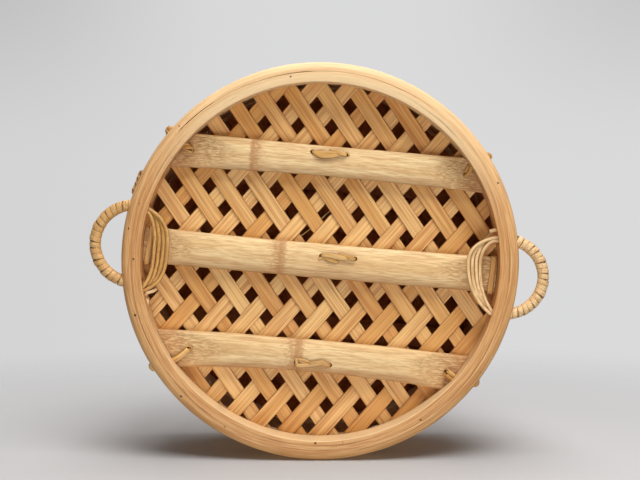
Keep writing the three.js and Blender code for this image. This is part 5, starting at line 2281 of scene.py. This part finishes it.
@dataclass
class AllHoops:
    """The nine bent hoops, with the holes that canes pass through."""

    maker: HoopMaker
    handles: SideHandles
    ties: CaneTies
    tie_hole_radius: float = 2.2 * MM
    stitch_hole_reach: Span = (138.5 * MM, 200 * MM)
    scarf_angle: float = math.radians(74.4)
    scarf_slant: float = math.radians(35)
    scarf_radii: Span = (130 * MM, 145 * MM)
    scarf_levels: Span = (-20 * MM, 45 * MM)
    scarf_middle: float = 12 * MM
    scarf_half_gap: float = 0.25 * MM
    seam_radius: float = 143.85 * MM
    seam_width: float = 0.9 * MM
    seam_height: float = 22 * MM
    seam_drift: tuple[Swell, ...] = (
        Swell(1.9 * MM, -145, 26), Swell(-0.5 * MM, -180, 14), Swell(0.6 * MM, -88, 24)
    )
    seam_crack: tuple[Swell, ...] = (Swell(0.38 * MM, -146, 20), Swell(0.25 * MM, -90, 17))
    wall_share: float = -0.4
    hoops: tuple[Hoop, ...] = (
        Hoop(
            "bent_foot_band", "foot_band", Body.BASKET, (143.8 * MM, 151.5 * MM), (0, 30 * MM),
            (4.4 * MM, 1.4 * MM), 0.35, 0.35 * MM
        ),
        Hoop(
            "bent_wall", "wall_hoop", Body.BASKET, (140.05 * MM, 143.75 * MM), (0, 88 * MM),
            (0.35 * MM, 0.6 * MM), 0.55
        ),
        Hoop(
            "bent_foot_ring", "foot_ring", Body.BASKET, (136.6 * MM, 140.03 * MM), (0, 24.3 * MM),
            tone=0.75
        ),
        # Tone above 1.5: the lining is painted dark red-brown, as shade seen through the gaps
        Hoop(
            "bent_lining", "lining_hoop", Body.BASKET, (136.6 * MM, 139.85 * MM), (27.7 * MM, 78 * MM),
            tone=1.75
        ),
        Hoop(
            "bent_top_band", "top_band", Body.BASKET, (143.95 * MM, 150 * MM), (68 * MM, 88 * MM),
            (1.4 * MM, 1.4 * MM), 0.65
        ),
        # Tone above 1.5: the flange is painted dark red-brown, as shade seen through the gaps
        Hoop(
            "bent_lid_flange", "lid_flange_hoop", Body.LID, (135.9 * MM, 139.3 * MM),
            (78.3 * MM, 107.2 * MM), (1.2 * MM, 0.6 * MM), 1.65
        ),
        Hoop(
            "bent_lid_wall", "lid_wall_hoop", Body.LID, (139.6 * MM, 143.2 * MM),
            (88.3 * MM, 122.3 * MM), tone=0.3
        ),
        Hoop(
            "bent_lid_band", "lid_band", Body.LID, (143.4 * MM, 149.5 * MM), (88.3 * MM, 104.3 * MM),
            (1.4 * MM, 1.4 * MM), 0.7
        ),
        Hoop(
            "bent_dome_ring", "lid_dome_ring", Body.LID, (135.3 * MM, 139.4 * MM),
            (111.3 * MM, 122.3 * MM), tone=0.6
        )
    )

    def build(self) -> None:
        """Bend every hoop."""
        wall_holes = self.handles.holes() + self.end_tie_holes()
        holes = {
            "foot_band": wall_holes + self.stitch_holes(), "wall_hoop": wall_holes,
            "foot_ring": wall_holes + [self.scarf()]
        }
        for hoop in self.hoops:
            opened = self.seam if hoop.node in ("foot_band", "wall_hoop") else None
            self.maker.bend(hoop, holes.get(hoop.node, ()), opened)

    def seam(self, angles: Array, radius: Array, height: Array) -> Array:
        """Find how far the seam between wall and foot band lies outwards.

        Args:
            angles: Angle of each point.
            radius: Its radius.
            height: Its height.

        Returns:
            The shift of each point.
        """
        near_foot = np.clip(1 - height / self.seam_height, 0, 1)
        at_seam = np.exp(-(((radius - self.seam_radius) / self.seam_width) ** 2))
        drift = sum(swell.at(angles) for swell in self.seam_drift)
        crack = sum(swell.at(angles) for swell in self.seam_crack)
        opening = np.where(radius > self.seam_radius, crack, crack * self.wall_share)
        return at_seam * near_foot * (drift + opening)

    def end_tie_holes(self) -> list[Mesh]:
        """Make the cutters of the end ties' holes through the wall.

        Returns:
            The cutters.
        """
        cutters = []
        for tie in self.ties.end_ties:
            start, wall = tie.course(self.ties.end_level, self.ties.wall_reach)
            cutters.append(drill(start, start + (wall - start) * 2, self.tie_hole_radius))
        return cutters

    def stitch_holes(self) -> list[Mesh]:
        """Make the cutters of the stitch's two holes.

        Returns:
            The cutters.
        """
        level, cutters = self.ties.stitch_level, []
        for angle in self.ties.stitch_angles:
            x, y = math.cos(angle), math.sin(angle)
            ends = [(reach * x, reach * y, level) for reach in self.stitch_hole_reach]
            cutters.append(drill(*ends, self.tie_hole_radius))
        return cutters

    def scarf(self) -> Mesh:
        """Make the cutter of the slanted joint in the foot ring.

        Returns:
            The cutter.
        """
        way = Matrix.Rotation(self.scarf_angle, 4, "Z")
        gap, (low, high) = self.scarf_half_gap, self.scarf_levels
        rings = []
        for radius in self.scarf_radii:
            corners = []
            for across, level in ((-gap, low), (gap, low), (gap, high), (-gap, high)):
                shift = math.tan(self.scarf_slant) * (level - self.scarf_middle)
                corners.append(tuple(way @ Vector((radius, across - shift, level))))
            rings.append(corners)
        return lofted("scarf", np.array(rings), False)


# The lid


class DomeTree(GrowingTree):
    """Two sets of thin strips woven over a shallow dome with a flat brim."""

    STATIONS = 130
    SUDDENNESS = 4.0
    OPENING_POWER = 4.0
    LEAST_DISTANCE = 0.01 * MM
    SEED = 5

    def __init__(self) -> None:
        """Write the tree."""
        super().__init__("woven_dome")
        pitch, width, thickness = self.numbers("Pitch", "Strip Width", "Strip Thickness")
        rise, brim, bend, dome_rise = self.numbers("Rise", "Brim Height", "Bend Radius", "Dome Rise")
        reach, hole_place, hole_radius = self.numbers("Trim Radius", "Hole Place", "Hole Radius")
        (tone_shift,) = self.numbers("Tone Shift")
        (count,) = self.numbers("Strips Each Way", kind="NodeSocketInt")

        inputs = {"Width": width, "Height": thickness}
        section = self.node("GeometryNodeCurvePrimitiveQuadrilateral", {}, inputs)
        ribbon = self.straight(section, self.STATIONS)
        inputs = {
            "Count": count, "Start Location": self.vector(0.0, (count - 1) * pitch * -0.5),
            "Offset": self.vector(0.0, pitch)
        }
        row = self.node("GeometryNodeMeshLine", {}, inputs)
        weave = self.tree.nodes.new("GeometryNodeJoinGeometry")
        for turn, side in ((-math.pi / 4, -1), (math.pi / 4, 1)):
            inputs = {"Points": row, "Instance": ribbon}
            strips = self.node("GeometryNodeInstanceOnPoints", {}, inputs)
            number = self.node("GeometryNodeInputIndex")
            inputs = {"ID": number, "Min_001": 0.0, "Max_001": 1.0, "Seed": side + self.SEED}
            tone = self.node("FunctionNodeRandomValue", {"data_type": "FLOAT"}, inputs)
            strips = self.store(strips, "tone", tone + tone_shift, domain="INSTANCE")
            strips = self.node("GeometryNodeRealizeInstances", {}, {"Geometry": strips})
            share, across, height = self.parts(self.here())
            along = share * (reach * reach - across * across).root()
            level = self.woven(along / pitch, across / pitch, side) * rise
            grain = self.vector(along, across, height)
            strips = self.store(strips, "grain", grain, "FLOAT_VECTOR")
            strips = self.placed(strips, self.vector(along, across, height + level))
            strips = self.placed(strips, self.turned(turn))
            self.tree.links.new(strips.socket, weave.inputs[0])
        weave = Signal(self, weave.outputs[0])
        for place in (hole_place, -hole_place):
            weave = self.pushed_aside(weave, place, hole_radius)
        x, y, z = self.parts(self.here())
        dome = ((bend * bend - (x * x + y * y)).root() - bend + dome_rise).larger(0.0)
        self.close(self.placed(weave, self.vector(x, y, z + brim + dome)))

    def woven(self, along: Signal, across: Signal, side: int) -> Signal:
        """Return about 1 where a strip of this set lies above and -1 where it lies below."""
        turn = (along - across * side + 0.5) * QUARTER_TURN + math.pi / 4
        return (turn.math("COSINE") * (self.SUDDENNESS * side)).math("TANH")

    def pushed_aside(self, geometry: Signal, place: Signal, radius: Signal) -> Signal:
        """Open the weave round a hole on the Y axis.

        Args:
            geometry: The weave.
            place: The hole's place on the axis.
            radius: The hole's radius.

        Returns:
            The weave with its hole.
        """
        x, y, z = self.parts(self.here())
        off = y - place
        distance = (x * x + off * off).root().larger(self.LEAST_DISTANCE)
        power = self.OPENING_POWER
        opened = distance.math("POWER", power) + radius.math("POWER", power)
        share = opened.math("POWER", 1 / power) / distance
        return self.placed(geometry, self.vector(x * share, place + off * share, z))


@dataclass
class Lid:
    """The lid's woven dome, its battens and its handle. Its hoops are bent with the others."""

    dresser: Dresser
    maker: CaneMaker
    trim_radius: float = 139.2 * MM
    flange_inner: float = 135.6 * MM
    brim: float = 111.0 * MM
    dome_rise: float = 32 * MM
    bend_radius: float = 296.56 * MM
    skin: float = 1.6 * MM
    liner_inset: float = 1.9 * MM
    hole_inset: float = 0.5 * MM
    hole_radius: float = 4.4 * MM
    batten_inset: float = 3.8 * MM
    batten_width: float = 18 * MM
    batten_thickness: float = 4 * MM
    batten_round: float = 1.1 * MM
    batten_stations: int = 80
    batten_spacing: float = 61.9 * MM
    knot_width: float = 5 * MM
    sharp_angle: float = 50.0
    # Tone that paints the liner and battens dark red-brown, as the inside's shade seen through the
    # gaps
    gap_shade_tone: float = 2.3
    handle_centre: float = 142.03 * MM
    handle_shape: RingShape = RingShape(26 * MM, 13.3 * MM, 24 * MM, True)

    def build(self) -> None:
        """Build everything but the hoops."""
        self.weave_dome()
        for index, name in enumerate(("front", "middle", "back")):
            self.bend_batten(name, (index - 1) * self.batten_spacing)
        upright = Matrix.Rotation(-QUARTER_TURN, 4, "Y")
        RingHandle(
            maker=self.maker, name="lid", body=Body.LID, shape=self.handle_shape,
            place=Matrix.Translation((0, 0, self.handle_centre)) @ upright,
            base=self.brim + self.dome_rise - self.handle_centre,
            nodes=("lid_handle_ring", "lid_handle_wrap")
        ).build()

    def weave_dome(self) -> None:
        """Weave the fine cover and the coarse liner."""
        tree = DomeTree()
        shared = {
            "Finish": self.dresser.finishes.of(Slot.DOME), "Bend Radius": self.bend_radius,
            "Dome Rise": self.dome_rise, "Trim Radius": self.trim_radius,
            "Hole Place": self.handle_shape.half_span - self.hole_inset,
            "Hole Radius": self.hole_radius
        }
        cover = {
            "Pitch": 4.6 * MM, "Strip Width": 4.3 * MM, "Strip Thickness": 0.5 * MM, "Rise": 0.32 * MM,
            "Strips Each Way": 60, "Brim Height": self.brim - self.skin / 2, "Tone Shift": 0.0
        }
        liner = {
            "Pitch": 12.4 * MM, "Strip Width": 11.9 * MM, "Strip Thickness": 0.6 * MM,
            "Rise": 0.36 * MM, "Strips Each Way": 22,
            "Brim Height": self.brim - self.liner_inset - self.skin / 2,
            # The liner's tone paints it dark red-brown, as shade
            "Tone Shift": self.gap_shade_tone
        }
        for name, values in (("dome_cover", cover), ("dome_liner", liner)):
            mesh = tree.grown({**shared, **values})
            self.dresser.piece(f"woven_{name}", mesh, Slot.DOME, Body.LID, f"lid_{name}")

    def bend_batten(self, name: str, offset: float) -> None:
        """Bend one batten to lie under the liner.

        Args:
            name: Its name.
            offset: Its middle line's place along Y.
        """
        half, bends = self.batten_width / 2, (self.batten_round,) * 4
        outline = rounded_box((-half, -self.batten_thickness), (half, 0), bends, 0)
        section = np.array([point[:2] for point in outline])
        share = np.linspace(-1, 1, self.batten_stations)[:, None]
        y = offset + section[:, 0] + 0 * share
        x = share * np.sqrt(self.flange_inner**2 - y**2)
        face = self.bend_radius - self.batten_inset
        apex = self.brim + self.dome_rise - self.bend_radius
        z = apex + np.sqrt(face**2 - x**2 - y**2) + section[:, 1]
        mesh = lofted(f"batten_{name}", np.stack([x, y, z], axis=-1), False)
        smoothed(mesh, self.sharp_angle)
        x, y, z = mesh_points(mesh).T
        stamp(mesh, "grain", np.stack([x, y - offset, z], axis=-1))
        # The battens' tone paints them dark red-brown, as shade
        stamp(mesh, "tone", np.full(len(x), self.gap_shade_tone + offset))
        stamp(mesh, "pith", np.zeros(len(x)))
        stamp(mesh, "knot", np.exp(-(((x - offset) / self.knot_width) ** 2)))
        self.dresser.piece(f"split_batten_{name}", mesh, Slot.BAR, Body.LID, f"lid_batten_{name}")


# Studio


@dataclass(frozen=True)
class Lamp:
    """A square soft lamp, and how far it hangs up, right and in front of the basket."""

    name: str
    up: float
    right: float
    front: float
    size: float
    power: float


@dataclass
class Studio:
    """The plain studio: camera, floors, backdrop colour and lamps.

    The photo's table is a vertical plane here, because the basket stands on its rim's edge in it.
    A second floor under the foot serves the views from above.
    """

    rim_radius: float = 151.5 * MM
    image_right: Vector = field(default_factory=lambda: Vector((0.996, -0.087, 0)).normalized())
    image_up: Vector = field(default_factory=lambda: Vector((-0.087, -0.996, 0)).normalized())
    aim_above_axis: float = 17 * MM
    camera_distance: float = 1.05
    camera_lift: float = math.radians(2.57)
    sensor_width: float = 36.0
    frame_width: float = 0.4848
    floor_size: float = 6.0
    floor_gap: float = 0.6 * MM
    floor_fade: Span = (0.24, 0.8)
    table_colour: Colour = shown(190, 188, 188)
    backdrop: Colour = shown(218, 218, 219)
    backdrop_edge: Colour = shown(195, 194, 195)
    corner_shade: float = 0.9
    corner_up: Span = (0.0, 0.17)
    corner_aside: Span = (0.05, 0.24)
    left_shade: float = 0.28
    left_span: Span = (0.0, 0.25)
    ambient_colour: Colour = (1.0, 0.98, 0.95, 1.0)
    ambient: float = 0.19
    lamps: tuple[Lamp, ...] = (
        Lamp("key", up=0.95, right=0.2, front=0.5, size=0.6, power=10.2),
        Lamp("overhead", up=1.6, right=0.0, front=0.0, size=0.9, power=12.6),
        Lamp("side", up=0.0, right=1.2, front=0.7, size=0.5, power=2.0),
        Lamp("bounce", up=-0.45, right=0.0, front=0.9, size=0.6, power=5.0),
        Lamp("lid_fill", up=1.5, right=0.0, front=-0.9, size=1.2, power=8.0)
    )

    def build(self) -> None:
        """Set up the whole studio."""
        bpy.context.scene.view_settings.view_transform = "Standard"
        self.place_camera()
        self.light_world()
        for lamp in self.lamps:
            self.hang(lamp)
        self.lay_floors()

    def place_camera(self) -> None:
        """Place the camera where the photo was taken from."""
        data = bpy.data.cameras.new("camera")
        data.sensor_width = self.sensor_width
        data.lens = self.sensor_width * self.camera_distance / self.frame_width
        data.clip_start = 10 * MM
        camera = linked("camera", data)
        aim = self.image_up * self.aim_above_axis
        away = self.image_up * math.sin(self.camera_lift) - Vector((0, 0, math.cos(self.camera_lift)))
        up = away.cross(self.image_right)
        turn = Matrix((self.image_right, up, away)).transposed()
        camera.matrix_world = Matrix.Translation(aim + away * self.camera_distance) @ turn.to_4x4()
        bpy.context.scene.camera = camera

    def light_world(self) -> None:
        """Give the surroundings a plain level, and a pale colour where the camera sees them."""
        bpy.context.scene.world = bpy.data.worlds.new("studio")
        writer = opened_tree(bpy.context.scene.world)
        way = writer.node("ShaderNodeTexCoord").output("Generated")
        right = writer.vector_math("DOT_PRODUCT", way, self.image_right).output("Value")
        up = writer.vector_math("DOT_PRODUCT", way, self.image_up).output("Value")
        aside = writer.ease(right.math("ABSOLUTE"), *self.corner_aside)
        corner = writer.ease(up, *self.corner_up) * aside * self.corner_shade
        edge = corner + writer.ease(-right, *self.left_span) * self.left_shade
        shade = writer.mixed(edge, self.backdrop, self.backdrop_edge)
        inputs = {"Color": self.ambient_colour, "Strength": self.ambient}
        plain = writer.node("ShaderNodeBackground", {}, inputs)
        pale = writer.node("ShaderNodeBackground", {}, {"Color": shade, "Strength": 1.0})
        inputs = {0: self.seen_rays(writer), 1: plain, 2: pale}
        shader = writer.node("ShaderNodeMixShader", {}, inputs)
        writer.node("ShaderNodeOutputWorld", {}, {"Surface": shader})

    @staticmethod
    def seen_rays(writer: NodeWriter) -> Signal:
        """Tell the rays that show the surroundings: camera, glossy and transmission rays.

        Args:
            writer: The tree's writer.

        Returns:
            1 for these rays and 0 for others.
        """
        camera = writer.node("ShaderNodeLightPath")
        glossy, through = camera.output("Is Glossy Ray"), camera.output("Is Transmission Ray")
        return camera.larger(glossy).larger(through)

    def hang(self, lamp: Lamp) -> None:
        """Hang a lamp that faces the basket.

        Args:
            lamp: Its place, size and power in watts.
        """
        data = bpy.data.lights.new(lamp.name, "AREA")
        data.size = lamp.size
        data.energy = lamp.power
        front = Vector((0, 0, -1))
        place = self.image_up * lamp.up + self.image_right * lamp.right + front * lamp.front
        turn = place.to_track_quat("Z", "Y").to_matrix().to_4x4()
        linked(lamp.name, data).matrix_world = Matrix.Translation(place) @ turn

    def lay_floors(self) -> None:
        """Lay the photo's table and the floor under the foot."""
        finish = self.floor_finish()
        touching = self.image_up * -(self.rim_radius + self.floor_gap)
        facing_up = self.image_up.to_track_quat("Z", "Y").to_matrix().to_4x4()
        upright = Matrix.Translation(touching) @ facing_up
        level = Matrix.Translation((0, 0, -self.floor_gap))
        half = self.floor_size / 2
        corners = [Vector((x * half, y * half, 0)) for x, y in ((-1, -1), (1, -1), (1, 1), (-1, 1))]
        for name, place in (("table", upright), ("ground", level)):
            mesh = bpy.data.meshes.new(name)
            mesh.from_pydata([place @ corner for corner in corners], [], [(0, 1, 2, 3)])
            mesh.materials.append(finish)
            floor = linked(name, mesh)

    def floor_finish(self) -> bpy.types.Material:
        """Write the floors' finish.

        Returns:
            A pale matt finish that shows on its front only, lets every light pass and fades
            into the backdrop with its distance.
        """
        material = bpy.data.materials.new("studio_floor")
        writer = opened_tree(material)
        back = writer.node("ShaderNodeNewGeometry").output("Backfacing")
        x, y, z = writer.parts(writer.place())
        far = writer.ease((x * x + y * y + z * z).root(), *self.floor_fade)
        shown_share = self.seen_rays(writer) * (1 - back) * (1 - far)
        pale = writer.node("ShaderNodeBsdfDiffuse", {}, {"Color": self.table_colour})
        clear = writer.node("ShaderNodeBsdfTransparent")
        shader = writer.node("ShaderNodeMixShader", {}, {0: shown_share, 1: clear, 2: pale})
        writer.node("ShaderNodeOutputMaterial", {}, {"Surface": shader})
        return material


def main() -> None:
    """Build every piece in order, and report them."""
    logging.basicConfig(level=logging.INFO, format="%(message)s")
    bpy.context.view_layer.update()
    Studio().build()
    dresser = Dresser(Finishes())
    maker = CaneMaker(dresser)
    bars = Crossbars(dresser)
    ties = CaneTies(maker, bars)
    handles = SideHandles(maker)
    WovenFloor(dresser).build()
    AllHoops(HoopMaker(dresser), handles, ties).build()
    bars.build()
    ties.build()
    handles.build()
    LooseEnds(maker).build()
    Lid(dresser, maker).build()


if __name__ == "__main__":
    main()
